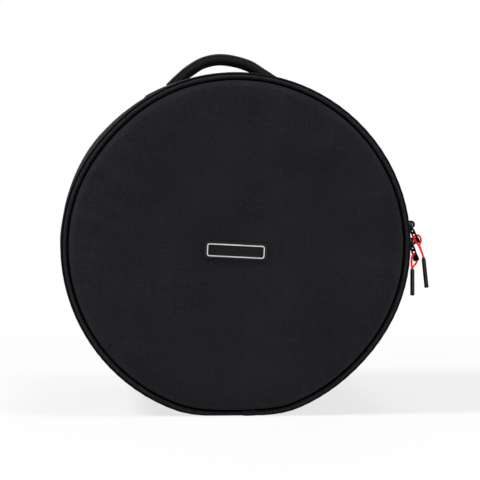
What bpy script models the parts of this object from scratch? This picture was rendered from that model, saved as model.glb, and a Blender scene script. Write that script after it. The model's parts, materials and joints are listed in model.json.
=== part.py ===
"""A padded round bag for a 14 inch tom drum, standing on its flattened lower edge.

The drum slides in along Y. The lid is the round face at -Y with a narrow side band. A zip
with two sliders runs round the side, and a fabric hinge at 9 o'clock joins lid and bag.
Angles round the bag are read from the front, from 3 o'clock towards the top.
"""

import math

import bmesh
import bpy
from mathutils import Matrix, Vector

MM = 0.001
BAG_NAME = "tom_drum_bag"

# Overall sizes
WALL_RADIUS = 211 * MM
BAG_DEPTH = 410 * MM
FLAT_DEPTH = 6.4 * MM
RIM_INSET = 3 * MM
SHOULDER_LENGTH = 6.2 * MM
SEGMENTS = 36

# Layers of the padded side and of the two round panels
SHELL_THICKNESS = 1 * MM
SIDE_FOAM_THICKNESS = 10 * MM
PANEL_FOAM_THICKNESS = 8 * MM
LINING_THICKNESS = 0.7 * MM
PIPING_RADIUS = 3 * MM
PIPING_SIDES = 8
FRONT_CROWN = 8 * MM
BACK_CROWN = 4 * MM
CROWN_EDGE_WIDTH = 12 * MM
CROWN_EDGE_SHARE = 0.6
FIT_GAP = 0.3 * MM
FOAM_CLEARANCE = 0.6 * MM

# Piping joint: a strip that covers where the two ends of the piping meet, near the bottom
JOINT_STRIP_THICKNESS = 0.8 * MM
JOINT_STRIP_TURN = (50, 150)
JOINT_STRIP_STEPS = 4
JOINT_STRIP_ARC = (272, 277)

# Zip
TAPE_THICKNESS = 0.6 * MM
TAPE_REACH = 16 * MM
TAPE_MARGIN = 1.2 * MM
TAPE_EXPOSED = 9 * MM
CHAIN_THICKNESS = 2.4 * MM
CHAIN_START = 0.8 * MM
CHAIN_END = 4 * MM
MOUTH_HALF_WIDTH = 8 * MM

# Fabric hinge at 9 o'clock
HINGE_HALF_ANGLE = 20
HINGE_THICKNESS = 0.7 * MM
HINGE_LINING_HALF_WIDTH = 7.2 * MM
HINGE_AXIS_OFFSET = 0.2 * MM

# Bindings round the raw edges of the padding at the mouth
BINDING_THICKNESS = 1.4 * MM
BINDING_WIDTH = 6 * MM

# Badge
BADGE_LENGTH = 77 * MM
BADGE_HEIGHT = 21 * MM
BADGE_THICKNESS = 1.5 * MM
BADGE_CORNER = 1 * MM
BADGE_OFFSET_X = -1.4 * MM
BADGE_OFFSET_Z = -5.4 * MM
BADGE_TILT = 3
BORDER_LENGTH = 68 * MM
BORDER_HEIGHT = 15.5 * MM
BORDER_WIDTH = 1.3 * MM
BORDER_THICKNESS = 0.6 * MM
BORDER_CORNER = 3 * MM
CORNER_STEPS = 3

# Handle. Its route is in shares of the half span and of the rise from its feet.
HANDLE_HALF_SPAN = 72 * MM
HANDLE_CREST = 17.6 * MM
HANDLE_FOOT_DROP = 17.2 * MM
HANDLE_ROUTE_SHARES = [
    (-0.96, 0.0),
    (-0.82, 0.29),
    (-0.62, 0.62),
    (-0.36, 0.91),
    (-0.08, 1.0),
    (0.35, 0.81),
    (0.62, 0.50),
    (0.83, 0.22),
    (1.0, -0.01),
]
HANDLE_ROUTE_STEPS = 4
PAD_THICKNESS = 12.6 * MM
PAD_WIDTH = 20 * MM
PAD_HALF_LENGTH = 34 * MM
PAD_SIDES = 12
HANDLE_TILT_DROP = 11 * MM
WEBBING_THICKNESS = 2 * MM
WEBBING_WIDTH = 15 * MM
ANCHOR_THICKNESS = 2 * MM
ANCHOR_WIDTH = 32 * MM
ANCHOR_ARCS = {"right": (60, 80), "left": (100, 120)}

# Zip sliders
PLATE_THICKNESS = 1.3 * MM
CHANNEL_CLEARANCE = 0.4 * MM
SLIDER_LENGTH = 14 * MM
SLIDER_WIDTH = 10 * MM
SLIDER_TAIL_WIDTH = 7.6 * MM
POST_LENGTH = 3 * MM
POST_WIDTH = 1 * MM
CROWN_RADIUS = 3.8 * MM
CROWN_WIRE = 1.6 * MM
CROWN_WIDTH = 2.2 * MM
CROWN_LIFT = 1.6 * MM
CROWN_STEPS = 8
JOIN_OVERLAP = 0.2 * MM
UPPER_CROWN_HEIGHT = 24.6 * MM
LOWER_CROWN_HEIGHT = 4.1 * MM

# Pull tabs, measured along them from the centre of the slider's crown
TAB_LENGTH = 25 * MM
TAB_THICKNESS = 1.2 * MM
TAB_START = 1.4 * MM
TAB_NECK_END = 7.2 * MM
TAB_FLARE_START = 17 * MM
TAB_FLARE_END = 20 * MM
TAB_EYE_WIDTH = 6.4 * MM
TAB_MIDDLE_WIDTH = 7.2 * MM
TAB_END_WIDTH = 8.8 * MM
TAB_CORNER = 1.1 * MM
TAB_HOLES = [
    (2.5 * MM, 6.3 * MM, 4.0 * MM),
    (8.3 * MM, 11.5 * MM, 3.6 * MM),
    (13.1 * MM, 17.1 * MM, 3.4 * MM),
]
TAB_TWIST = 22
UPPER_TAB_LEAN = 25
LOWER_TAB_LEAN = 18

# Pull cords. A point is (out, towards the back, up) in millimetres from the crown's centre.
CORD_DIAMETER = 1.8 * MM
CORD_STEPS = 2
UPPER_CORD_ROUTE = [
    (17.1, 5.2, -40.2),
    (16.0, 5.1, -36.4),
    (14.3, 4.7, -32.4),
    (12.8, 4.0, -28.8),
    (12.4, 3.2, -25.8),
    (13.0, 2.5, -23.4),
    (13.6, 2.0, -20.8),
    (13.5, 1.7, -18.2),
    (12.5, 1.6, -15.9),
    (11.0, 1.5, -14.3),
    (9.4, 1.2, -13.7),
    (7.9, 0.6, -14.0),
    (6.5, 0.0, -14.3),
    (5.6, -0.6, -15.4),
    (5.8, -1.1, -16.9),
    (6.9, -1.2, -18.7),
    (7.9, -1.0, -20.8),
    (8.7, -0.5, -23.0),
    (9.8, 0.2, -25.2),
    (11.5, 1.2, -28.0),
    (13.2, 2.0, -31.2),
    (15.0, 2.5, -34.5),
    (16.5, 2.8, -37.7),
    (17.1, 2.8, -40.2),
]
LOWER_CORD_ROUTE = [
    (2.2, -0.8, -33.8),
    (2.3, 0.0, -32.4),
    (3.4, 0.7, -30.9),
    (5.0, 1.3, -29.3),
    (6.8, 2.0, -27.4),
    (8.2, 2.7, -25.0),
    (8.5, 3.2, -22.2),
    (8.0, 3.3, -19.3),
    (7.4, 2.7, -16.8),
    (6.2, 1.4, -15.2),
    (4.7, 0.0, -14.9),
    (3.4, -1.0, -15.7),
    (2.2, -1.7, -17.5),
    (1.3, -1.9, -20.1),
    (0.9, -2.0, -23.1),
    (0.1, -2.1, -25.9),
    (-0.3, -2.2, -28.1),
    (0.3, -2.2, -30.1),
    (1.9, -2.2, -31.2),
    (2.2, -2.9, -32.5),
]

# Sleeves that hold the ends of the pull cords. Tops and knots are placed as the cords' points.
GRIP_LENGTH = 35.5 * MM
GRIP_RADIUS = 2.45 * MM
GRIP_ROUND = 0.5 * MM
GRIP_RECESS_RADIUS = 1.5 * MM
GRIP_RECESS_DEPTH = 3 * MM
GRIP_SIDES = 14
UPPER_GRIP_TOP = (17.1, 4.0, -40.5)
LOWER_GRIP_TOP = (2.2, -2.0, -33.4)
UPPER_GRIP_SLANT = (5, 0)
LOWER_GRIP_SLANT = (-1, 31)
UPPER_KNOT = (11.0, 1.8, -25.2)
LOWER_KNOT = (1.8, -1.5, -30.1)

# Cutters reach this far past what they cut
OVERRUN = 5 * MM

# Finishes: base colour as linear RGB, roughness, metallic
FINISHES = {
    "woven_fabric": ((0.017, 0.018, 0.024), 0.85, 0.0),
    "padding": ((0.05, 0.05, 0.055), 0.95, 0.0),
    "lining": ((0.012, 0.012, 0.014), 0.6, 0.0),
    "webbing": ((0.014, 0.014, 0.018), 0.8, 0.0),
    "zip_plastic": ((0.008, 0.008, 0.009), 0.45, 0.0),
    "slider_metal": ((0.01, 0.01, 0.011), 0.35, 0.9),
    "badge_rubber": ((0.006, 0.006, 0.007), 0.55, 0.0),
    "badge_silver": ((0.6, 0.6, 0.62), 0.3, 0.6),
    "pull_cord": ((0.75, 0.005, 0.012), 0.6, 0.0),
    "grip_rubber": ((0.012, 0.012, 0.013), 0.5, 0.0),
}

# Radii and places that follow from the sizes above
AXIS_HEIGHT = WALL_RADIUS - FLAT_DEPTH
AXIS = Vector((0, 0, AXIS_HEIGHT))
HALF_DEPTH = BAG_DEPTH / 2
SHOULDER_START = 2 * PIPING_RADIUS + FIT_GAP
SHOULDER_END = SHOULDER_START + SHOULDER_LENGTH
ZIP_Y = SHOULDER_END + TAPE_MARGIN + FIT_GAP + TAPE_REACH - HALF_DEPTH
ZIP_CENTRE = Vector((0, ZIP_Y, AXIS_HEIGHT))
RIM_RADIUS = WALL_RADIUS - RIM_INSET
PIPING_CENTRE_RADIUS = RIM_RADIUS - PIPING_RADIUS
PIPING_CENTRE_Y = PIPING_RADIUS - HALF_DEPTH
PANEL_RADIUS = PIPING_CENTRE_RADIUS - PIPING_RADIUS - FIT_GAP
CROWN_EDGE_RADIUS = PANEL_RADIUS - CROWN_EDGE_WIDTH
SHELL_INNER = WALL_RADIUS - SHELL_THICKNESS
FOAM_OUTER = SHELL_INNER - FIT_GAP
FOAM_INNER = FOAM_OUTER - SIDE_FOAM_THICKNESS
TAPE_INNER = FOAM_OUTER - TAPE_THICKNESS
FOAM_UNDER_TAPE = TAPE_INNER - FIT_GAP
LINING_OUTER = FOAM_INNER - FIT_GAP
PANEL_FOAM_RADIUS = FOAM_INNER - FOAM_CLEARANCE
CHAIN_MIDDLE = (FOAM_OUTER + TAPE_INNER) / 2
CHAIN_OUTER = CHAIN_MIDDLE + CHAIN_THICKNESS / 2
CHAIN_INNER = CHAIN_MIDDLE - CHAIN_THICKNESS / 2
OUTER_PLATE = CHAIN_OUTER + CHANNEL_CLEARANCE
INNER_PLATE = CHAIN_INNER * math.cos(math.pi / SEGMENTS) - CHANNEL_CLEARANCE
CROWN_CENTRE = OUTER_PLATE + PLATE_THICKNESS + CROWN_LIFT
ZIP_ARC = (HINGE_HALF_ANGLE - 180, 180 - HINGE_HALF_ANGLE)
HINGE_TRIM = math.degrees(FIT_GAP / CHAIN_MIDDLE)
HINGE_ARC = (180 - HINGE_HALF_ANGLE + HINGE_TRIM, 180 + HINGE_HALF_ANGLE - HINGE_TRIM)
HINGE_AXIS = Vector((-WALL_RADIUS - HINGE_AXIS_OFFSET, ZIP_Y, AXIS_HEIGHT))

# The side's rounded shoulder next to the piping, drawn for the front
SHOULDER = [
    (
        RIM_RADIUS + RIM_INSET * math.cos(math.radians(turn)),
        SHOULDER_END - SHOULDER_LENGTH * math.sin(math.radians(turn)) - HALF_DEPTH,
    )
    for turn in (0, 45, 90)
]

parts = None
workbench = None


def clear_scene():
    for obj in list(bpy.data.objects):
        bpy.data.objects.remove(obj, do_unlink=True)


def make_collections():
    global parts, workbench
    parts = bpy.data.collections.new(BAG_NAME)
    workbench = bpy.data.collections.new("cutters")
    bpy.context.scene.collection.children.link(parts)
    bpy.context.scene.collection.children.link(workbench)


def finish_material(name):
    material = bpy.data.materials.get(name)
    if material is None:
        colour, roughness, metallic = FINISHES[name]
        material = bpy.data.materials.new(name)
        material.use_nodes = True
        shader = material.node_tree.nodes["Principled BSDF"]
        shader.inputs["Base Color"].default_value = (*colour, 1)
        shader.inputs["Roughness"].default_value = roughness
        shader.inputs["Metallic"].default_value = metallic
        material.diffuse_color = (*colour, 1)
    return material


def pivot(name, place, parent=None):
    """An empty on a joint's axis, which carries what turns about it."""
    empty = bpy.data.objects.new(name, None)
    parts.objects.link(empty)
    empty["place"] = tuple(place)
    empty.location = place
    if parent is not None:
        empty.parent = parent
        empty.location = Vector(place) - Vector(parent["place"])
    return empty


def new_part(name, solid, finish, place, parent):
    """One sub-part from a bmesh drawn about the world point place: holes capped, faces
    pointing out, flat sides kept sharp."""
    rims = [edge for edge in solid.edges if edge.is_boundary]
    if rims:
        bmesh.ops.holes_fill(solid, edges=rims, sides=0)
    bmesh.ops.recalc_face_normals(solid, faces=solid.faces)
    if solid.calc_volume(signed=True) < 0:
        bmesh.ops.reverse_faces(solid, faces=solid.faces)
    mesh = bpy.data.meshes.new(name)
    solid.to_mesh(mesh)
    solid.free()
    mesh.shade_smooth()
    mesh.set_sharp_from_angle(angle=math.radians(35))
    mesh.materials.append(finish_material(finish))
    obj = bpy.data.objects.new(name, mesh)
    parts.objects.link(obj)
    obj.parent = parent
    obj.location = Vector(place) - Vector(parent["place"])
    return obj


def blank(data):
    """An object on the workbench, out of the renders, for a mesh or a curve."""
    obj = bpy.data.objects.new(data.name + "_blank", data)
    workbench.objects.link(obj)
    obj.hide_render = True
    obj.display_type = "WIRE"
    return obj


def baked(obj):
    """A bmesh of a blank as its modifiers leave it. The blank goes."""
    bpy.context.view_layer.update()
    graph = bpy.context.evaluated_depsgraph_get()
    mesh = bpy.data.meshes.new_from_object(obj.evaluated_get(graph))
    solid = bmesh.new()
    solid.from_mesh(mesh)
    bmesh.ops.remove_doubles(solid, verts=solid.verts, dist=0.01 * MM)
    bpy.data.objects.remove(obj, do_unlink=True)
    bpy.data.meshes.remove(mesh)
    return solid


def solid_blank(solid):
    bmesh.ops.recalc_face_normals(solid, faces=solid.faces)
    mesh = bpy.data.meshes.new("solid")
    solid.to_mesh(mesh)
    solid.free()
    return blank(mesh)


def combined(solid, others, operation):
    """Join the others to a solid, or cut them from it."""
    base = solid_blank(solid)
    tools = [solid_blank(other) for other in others]
    for tool in tools:
        boolean = base.modifiers.new("combine", "BOOLEAN")
        boolean.operation = operation
        boolean.object = tool
    result = baked(base)
    for tool in tools:
        bpy.data.objects.remove(tool, do_unlink=True)
    return result


def block(low, high):
    """A box between two corners."""
    solid = bmesh.new()
    bmesh.ops.create_cube(solid, size=1)
    middle = (Vector(low) + Vector(high)) / 2
    for vertex in solid.verts:
        for axis in range(3):
            vertex.co[axis] = middle[axis] + vertex.co[axis] * (high[axis] - low[axis])
    return solid


def plate(outlines, thickness):
    """A flat plate about z = 0 from closed outlines in X and Y. All but the first are holes."""
    curve = bpy.data.curves.new("outline", "CURVE")
    curve.dimensions = "2D"
    curve.fill_mode = "BOTH"
    curve.extrude = thickness / 2
    for outline in outlines:
        spline = curve.splines.new("POLY")
        spline.points.add(len(outline) - 1)
        spline.use_cyclic_u = True
        for point, (x, y) in zip(spline.points, outline):
            point.co = (x, y, 0, 1)
    return baked(blank(curve))


def tube(route, diameter, sides):
    """A round tube with flat ends along a route of points."""
    curve = bpy.data.curves.new("route", "CURVE")
    curve.dimensions = "3D"
    curve.bevel_depth = diameter / 2
    curve.bevel_resolution = sides // 2 - 2
    curve.use_fill_caps = True
    spline = curve.splines.new("POLY")
    spline.points.add(len(route) - 1)
    for point, place in zip(spline.points, route):
        point.co = (*place, 1)
    return baked(blank(curve))


def smooth_route(points, steps):
    """Points on one smooth curve through the given ones, steps of them to each gap."""
    points = [Vector(point) for point in points]
    chain = [2 * points[0] - points[1], *points, 2 * points[-1] - points[-2]]
    route = []
    for a, b, c, d in zip(chain, chain[1:], chain[2:], chain[3:]):
        for step in range(steps):
            t = step / steps
            bend = (2 * a - 5 * b + 4 * c - d) * t * t + (3 * b - a - 3 * c + d) * t * t * t
            route.append((2 * b + (c - a) * t + bend) / 2)
    route.append(points[-1])
    return route


def route_between(route, start_x, end_x):
    """The stretch of a route, which runs towards +X, between two values of x."""
    stretch = [point for point in route if start_x < point.x < end_x]
    for x, place in ((start_x, 0), (end_x, len(stretch) + 1)):
        for a, b in zip(route, route[1:]):
            if a.x <= x < b.x:
                stretch.insert(place, a.lerp(b, (x - a.x) / (b.x - a.x)))
    return stretch


def offset_line(line, distance):
    """The points of an (x, y) line moved sideways, to its right."""
    line = [Vector(point) for point in line]
    moved = []
    for i, here in enumerate(line):
        ways = []
        if i > 0:
            ways.append((here - line[i - 1]).normalized())
        if i < len(line) - 1:
            ways.append((line[i + 1] - here).normalized())
        sides = [Vector((way.y, -way.x)) for way in ways]
        middle = sum(sides, Vector((0, 0))).normalized()
        moved.append(tuple(here + middle * distance / middle.dot(sides[0])))
    return moved


def outer_radius(y):
    """The bag's outer radius at y: the side, its rounded shoulder, then the piping."""
    depth = -abs(y)
    for (r_a, y_a), (r_b, y_b) in zip(SHOULDER, SHOULDER[1:]):
        if y_b <= depth <= y_a:
            return r_a + (r_b - r_a) * (depth - y_a) / (y_b - y_a)
    return WALL_RADIUS if depth > SHOULDER[0][1] else RIM_RADIUS


def flatten_bottom(solid):
    """Press the lowest stretch flat, as it stands on the floor. Every layer keeps its
    thickness, and the push fades out towards the middle of the round panels."""
    for vertex in solid.verts:
        radius = math.hypot(vertex.co.x, vertex.co.z)
        push = (outer_radius(vertex.co.y) - AXIS_HEIGHT) * min(radius / CROWN_EDGE_RADIUS, 1)
        vertex.co.z = max(vertex.co.z, push - radius)


def with_stations(outline, closed):
    """An outline with points added where it passes a bend of the side's shoulder, so that
    neighbouring layers flatten alike."""
    stations = [side * y for side in (-1, 1) for _, y in SHOULDER]
    pairs = list(zip(outline, outline[1:]))
    if closed:
        pairs.append((outline[-1], outline[0]))
    result = []
    for (r_a, y_a), (r_b, y_b) in pairs:
        result.append((r_a, y_a))
        shares = sorted((y - y_a) / (y_b - y_a) for y in stations if (y - y_a) * (y - y_b) < 0)
        result.extend((r_a + (r_b - r_a) * share, y_a + (y_b - y_a) * share) for share in shares)
    if not closed:
        result.append(outline[-1])
    return result


def turned_solid(outline, arc, steps):
    """Turn an outline of (radius, y) about the Y axis, over an arc of (start, end) degrees.
    An outline that starts on the axis ends on it, and any other one is closed."""
    start, end = arc
    closed = outline[0][0] > 0
    turn = math.radians(end)
    points = [(radius * math.cos(turn), y, radius * math.sin(turn)) for radius, y in outline]
    edges = [(i, i + 1) for i in range(len(points) - 1)]
    if closed:
        edges.append((len(points) - 1, 0))
    profile = bpy.data.meshes.new("profile")
    profile.from_pydata(points, edges, [])
    obj = blank(profile)
    screw = obj.modifiers.new("turn", "SCREW")
    screw.axis = "Y"
    screw.angle = math.radians(end - start)
    screw.steps = steps
    screw.render_steps = steps
    screw.use_merge_vertices = True
    screw.merge_threshold = 0.01 * MM
    return baked(obj)


def turned(name, outline, finish, parent, arc=(0, 360)):
    """A sub-part turned about the bag's axis and flattened at the bottom."""
    steps = max(1, round(SEGMENTS * (arc[1] - arc[0]) / 360))
    solid = turned_solid(with_stations(outline, outline[0][0] > 0), arc, steps)
    flatten_bottom(solid)
    return new_part(name, solid, finish, AXIS, parent)


def ring(inner, outer, start_y, end_y):
    """The outline of a plain ring."""
    return [(inner, start_y), (outer, start_y), (outer, end_y), (inner, end_y)]


def mirrored(outline):
    """An outline drawn for the front, put at the back."""
    return [(radius, -y) for radius, y in outline]


def panel_y(radius, crown, depth):
    """Where a front panel lies at a radius, depth below its outside."""
    edge_rise = crown * CROWN_EDGE_SHARE
    if radius >= CROWN_EDGE_RADIUS:
        rise = edge_rise * (PANEL_RADIUS - radius) / CROWN_EDGE_WIDTH
    else:
        rise = crown - (crown - edge_rise) * radius / CROWN_EDGE_RADIUS
    return PIPING_CENTRE_Y - rise + depth


def panel_layer(rim, crown, start, thickness):
    """The outline of one layer of a front panel, start below its outside."""
    radii = (0, CROWN_EDGE_RADIUS, rim)
    outside = [(radius, panel_y(radius, crown, start)) for radius in radii]
    inside = [(radius, panel_y(radius, crown, start + thickness)) for radius in radii]
    return outside + inside[::-1]


def add_end(name, crown, place, parent):
    """A round panel's three layers, its piping and the strip over the piping's joint. It is
    drawn for the front, and place puts it at its end of the bag."""
    foam_start = SHELL_THICKNESS + FIT_GAP
    lining_start = foam_start + PANEL_FOAM_THICKNESS + FIT_GAP
    shell = panel_layer(PANEL_RADIUS, crown, 0, SHELL_THICKNESS)
    foam = panel_layer(PANEL_FOAM_RADIUS, crown, foam_start, PANEL_FOAM_THICKNESS)
    lining = panel_layer(PANEL_FOAM_RADIUS, crown, lining_start, LINING_THICKNESS)
    turned(name + "_panel_shell", place(shell), "woven_fabric", parent)
    turned(name + "_panel_foam", place(foam), "padding", parent)
    turned(name + "_panel_lining", place(lining), "lining", parent)

    def piping_point(radius, turn):
        out = radius * math.cos(math.radians(turn))
        forward = radius * math.sin(math.radians(turn))
        return (PIPING_CENTRE_RADIUS + out, PIPING_CENTRE_Y - forward)

    piping = [piping_point(PIPING_RADIUS, 360 * i / PIPING_SIDES) for i in range(PIPING_SIDES)]
    turned(name + "_piping", place(piping), "webbing", parent)
    first, last = JOINT_STRIP_TURN
    turns = [first + (last - first) * i / JOINT_STRIP_STEPS for i in range(JOINT_STRIP_STEPS + 1)]
    inner = PIPING_RADIUS + FIT_GAP
    strip = [piping_point(inner, turn) for turn in turns]
    strip += [piping_point(inner + JOINT_STRIP_THICKNESS, turn) for turn in reversed(turns)]
    turned(name + "_piping_joint", place(strip), "webbing", parent, JOINT_STRIP_ARC)


def add_side(name, zip_line, crown, place, parent):
    """The padded side between the zip and one end: shell, foam, lining, the binding round
    the foam's raw edge, and this side's half of the zip. It is drawn for the front."""
    shell = [(WALL_RADIUS, zip_line - TAPE_EXPOSED), *SHOULDER]
    shell += offset_line(shell, SHELL_THICKNESS)[::-1]
    step_y = zip_line - TAPE_REACH - FIT_GAP
    mouth_y = zip_line - MOUTH_HALF_WIDTH
    foam = [(FOAM_INNER, mouth_y), (FOAM_UNDER_TAPE, mouth_y), (FOAM_UNDER_TAPE, step_y)]
    foam += offset_line([(WALL_RADIUS, step_y), *SHOULDER], SHELL_THICKNESS + FOAM_CLEARANCE)
    foam.append((FOAM_INNER, foam[-1][1]))
    panel_depth = SHELL_THICKNESS + PANEL_FOAM_THICKNESS + LINING_THICKNESS + 3 * FIT_GAP
    lining_end = panel_y(LINING_OUTER, crown, panel_depth)
    lining = ring(LINING_OUTER - LINING_THICKNESS, LINING_OUTER, mouth_y, lining_end)
    binding_y = mouth_y + FIT_GAP
    binding = ring(FOAM_INNER, FOAM_INNER + BINDING_WIDTH, binding_y, binding_y + BINDING_THICKNESS)
    tape = ring(TAPE_INNER, FOAM_OUTER, zip_line - CHAIN_END - FIT_GAP, zip_line - TAPE_REACH)
    chain = ring(CHAIN_INNER, CHAIN_OUTER, zip_line - CHAIN_START, zip_line - CHAIN_END)
    turned(name + "_side_shell", place(shell), "woven_fabric", parent)
    turned(name + "_side_foam", place(foam), "padding", parent)
    turned(name + "_side_lining", place(lining), "lining", parent)
    turned(name + "_mouth_binding", place(binding), "webbing", parent)
    turned(name + "_zip_tape", place(tape), "webbing", parent, ZIP_ARC)
    turned(name + "_zip_teeth", place(chain), "zip_plastic", parent, ZIP_ARC)


def add_hinge(bag):
    strip = ring(TAPE_INNER, TAPE_INNER + HINGE_THICKNESS, ZIP_Y - TAPE_REACH, ZIP_Y + TAPE_REACH)
    outer = TAPE_INNER - 2 * FIT_GAP
    low = ZIP_Y - HINGE_LINING_HALF_WIDTH
    high = ZIP_Y + HINGE_LINING_HALF_WIDTH
    turned("hinge_strip", strip, "webbing", bag, HINGE_ARC)
    turned("hinge_lining", ring(outer - LINING_THICKNESS, outer, low, high), "lining", bag, HINGE_ARC)


def rounded_rectangle(length, height, corner):
    """The outline of a rectangle with round corners, about the origin."""
    outline = []
    for quarter, (across, up) in enumerate(((1, 1), (-1, 1), (-1, -1), (1, -1))):
        for step in range(CORNER_STEPS + 1):
            turn = math.radians(90 * (quarter + step / CORNER_STEPS))
            x = across * (length / 2 - corner) + corner * math.cos(turn)
            y = up * (height / 2 - corner) + corner * math.sin(turn)
            outline.append((x, y))
    return outline


def stand_up(solid, tilt):
    """Turn a plate drawn in X and Y to face the front, tilted clockwise."""
    turn = Matrix.Rotation(math.radians(tilt), 4, "Y") @ Matrix.Rotation(math.radians(90), 4, "X")
    bmesh.ops.transform(solid, matrix=turn, verts=solid.verts)
    return solid


def add_badge(lid):
    backing = plate([rounded_rectangle(BADGE_LENGTH, BADGE_HEIGHT, BADGE_CORNER)], BADGE_THICKNESS)
    hole_length = BORDER_LENGTH - 2 * BORDER_WIDTH
    hole_height = BORDER_HEIGHT - 2 * BORDER_WIDTH
    outer = rounded_rectangle(BORDER_LENGTH, BORDER_HEIGHT, BORDER_CORNER)
    inner = rounded_rectangle(hole_length, hole_height, BORDER_CORNER - BORDER_WIDTH)
    border = plate([outer, inner], BORDER_THICKNESS)
    x = BADGE_OFFSET_X
    z = AXIS_HEIGHT + BADGE_OFFSET_Z
    back_y = panel_y(0, FRONT_CROWN, 0) - FIT_GAP
    front_y = back_y - BADGE_THICKNESS - FIT_GAP
    backing_place = (x, back_y - BADGE_THICKNESS / 2, z)
    border_place = (x, front_y - BORDER_THICKNESS / 2, z)
    new_part("badge_backing", stand_up(backing, BADGE_TILT), "badge_rubber", backing_place, lid)
    new_part("badge_border", stand_up(border, BADGE_TILT), "badge_silver", border_place, lid)


def handle_route():
    foot_z = WALL_RADIUS - HANDLE_FOOT_DROP
    rise = HANDLE_CREST + HANDLE_FOOT_DROP
    points = [(HANDLE_HALF_SPAN * x, 0, foot_z + rise * z) for x, z in HANDLE_ROUTE_SHARES]
    return smooth_route(points, HANDLE_ROUTE_STEPS)


def padded_roll(stretch):
    """A tube along part of the handle's route, widened along the bag to the pad's width."""
    solid = tube(stretch, PAD_THICKNESS, PAD_SIDES)
    for vertex in solid.verts:
        vertex.co.y *= PAD_WIDTH / PAD_THICKNESS
    return solid


def add_handle(bag, handle):
    route = handle_route()
    middle = route_between(route, -PAD_HALF_LENGTH, PAD_HALF_LENGTH)
    place = AXIS
    new_part("handle_pad", padded_roll(middle), "woven_fabric", place, handle)
    line = [(point.x, point.z) for point in reversed(middle)]
    near = offset_line(line, PAD_THICKNESS / 2 + FIT_GAP)
    far = offset_line(line, PAD_THICKNESS / 2 + FIT_GAP + WEBBING_THICKNESS)
    strip = stand_up(plate([near + far[::-1]], WEBBING_WIDTH), 0)
    new_part("handle_webbing", strip, "webbing", place, handle)
    anchor_inner = WALL_RADIUS + FIT_GAP
    anchor_outer = anchor_inner + ANCHOR_THICKNESS
    patch = ring(anchor_inner, anchor_outer, -ANCHOR_WIDTH / 2, ANCHOR_WIDTH / 2)
    gap = PAD_HALF_LENGTH + FIT_GAP
    ends = {
        "left": route_between(route, route[0].x, -gap),
        "right": route_between(route, gap, route[-1].x),
    }
    for side, stretch in ends.items():
        turned("handle_anchor_" + side, patch, "webbing", bag, ANCHOR_ARCS[side])
        bag_body = bmesh.new()
        radius = anchor_outer + FIT_GAP
        bmesh.ops.create_cone(
            bag_body,
            cap_ends=True,
            segments=SEGMENTS,
            radius1=radius,
            radius2=radius,
            depth=PAD_WIDTH + 2 * OVERRUN,
        )
        lie = Matrix.Rotation(math.radians(90), 4, "X")
        bmesh.ops.transform(bag_body, matrix=lie, verts=bag_body.verts)
        end = combined(padded_roll(stretch), [bag_body], "DIFFERENCE")
        new_part("handle_end_" + side, end, "woven_fabric", place, bag)


def slider_plate(inner_radius, nose):
    """One flat plate of a slider, wide at its nose, standing at 3 o'clock."""
    half = SLIDER_LENGTH / 2
    wide = SLIDER_WIDTH / 2
    narrow = SLIDER_TAIL_WIDTH / 2
    corner = PLATE_THICKNESS
    outline = [
        (wide - corner, nose * half),
        (wide, nose * (half - corner)),
        (wide, 0),
        (narrow, -nose * (half - corner)),
        (narrow - corner, -nose * half),
    ]
    outline += [(-y, z) for y, z in reversed(outline)]
    solid = plate([outline], PLATE_THICKNESS)
    middle = inner_radius + PLATE_THICKNESS / 2
    stand = Matrix(((0, 0, 1, middle), (1, 0, 0, 0), (0, 1, 0, 0), (0, 0, 0, 1)))
    bmesh.ops.transform(solid, matrix=stand, verts=solid.verts)
    return solid


def slider_crown():
    """The arch on the outer plate that the pull tab hangs from."""
    foot = -CROWN_LIFT - JOIN_OVERLAP
    outer = CROWN_RADIUS + CROWN_WIRE / 2
    inner = CROWN_RADIUS - CROWN_WIRE / 2
    turns = [math.pi * (i / CROWN_STEPS - 0.5) for i in range(CROWN_STEPS + 1)]
    outline = [(foot, -outer)]
    outline += [(outer * math.cos(turn), outer * math.sin(turn)) for turn in turns]
    outline += [(foot, outer), (foot, inner)]
    outline += [(inner * math.cos(turn), inner * math.sin(turn)) for turn in reversed(turns)]
    outline.append((foot, -inner))
    solid = stand_up(plate([outline], CROWN_WIDTH), 0)
    bmesh.ops.translate(solid, vec=(CROWN_CENTRE, 0, 0), verts=solid.verts)
    return solid


def add_slider(name, angle, nose, body):
    outer = slider_plate(OUTER_PLATE, nose)
    inner = slider_plate(INNER_PLATE - PLATE_THICKNESS, nose)
    tip = nose * SLIDER_LENGTH / 2
    post_end = nose * (SLIDER_LENGTH / 2 - POST_LENGTH)
    low = (INNER_PLATE - JOIN_OVERLAP, -POST_WIDTH / 2, min(tip, post_end))
    high = (OUTER_PLATE + JOIN_OVERLAP, POST_WIDTH / 2, max(tip, post_end))
    solid = combined(outer, [inner, block(low, high), slider_crown()], "UNION")
    turn = Matrix.Rotation(-angle, 4, "Y")
    bmesh.ops.transform(solid, matrix=turn, verts=solid.verts)
    new_part(name, solid, "slider_metal", ZIP_CENTRE, body)


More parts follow.
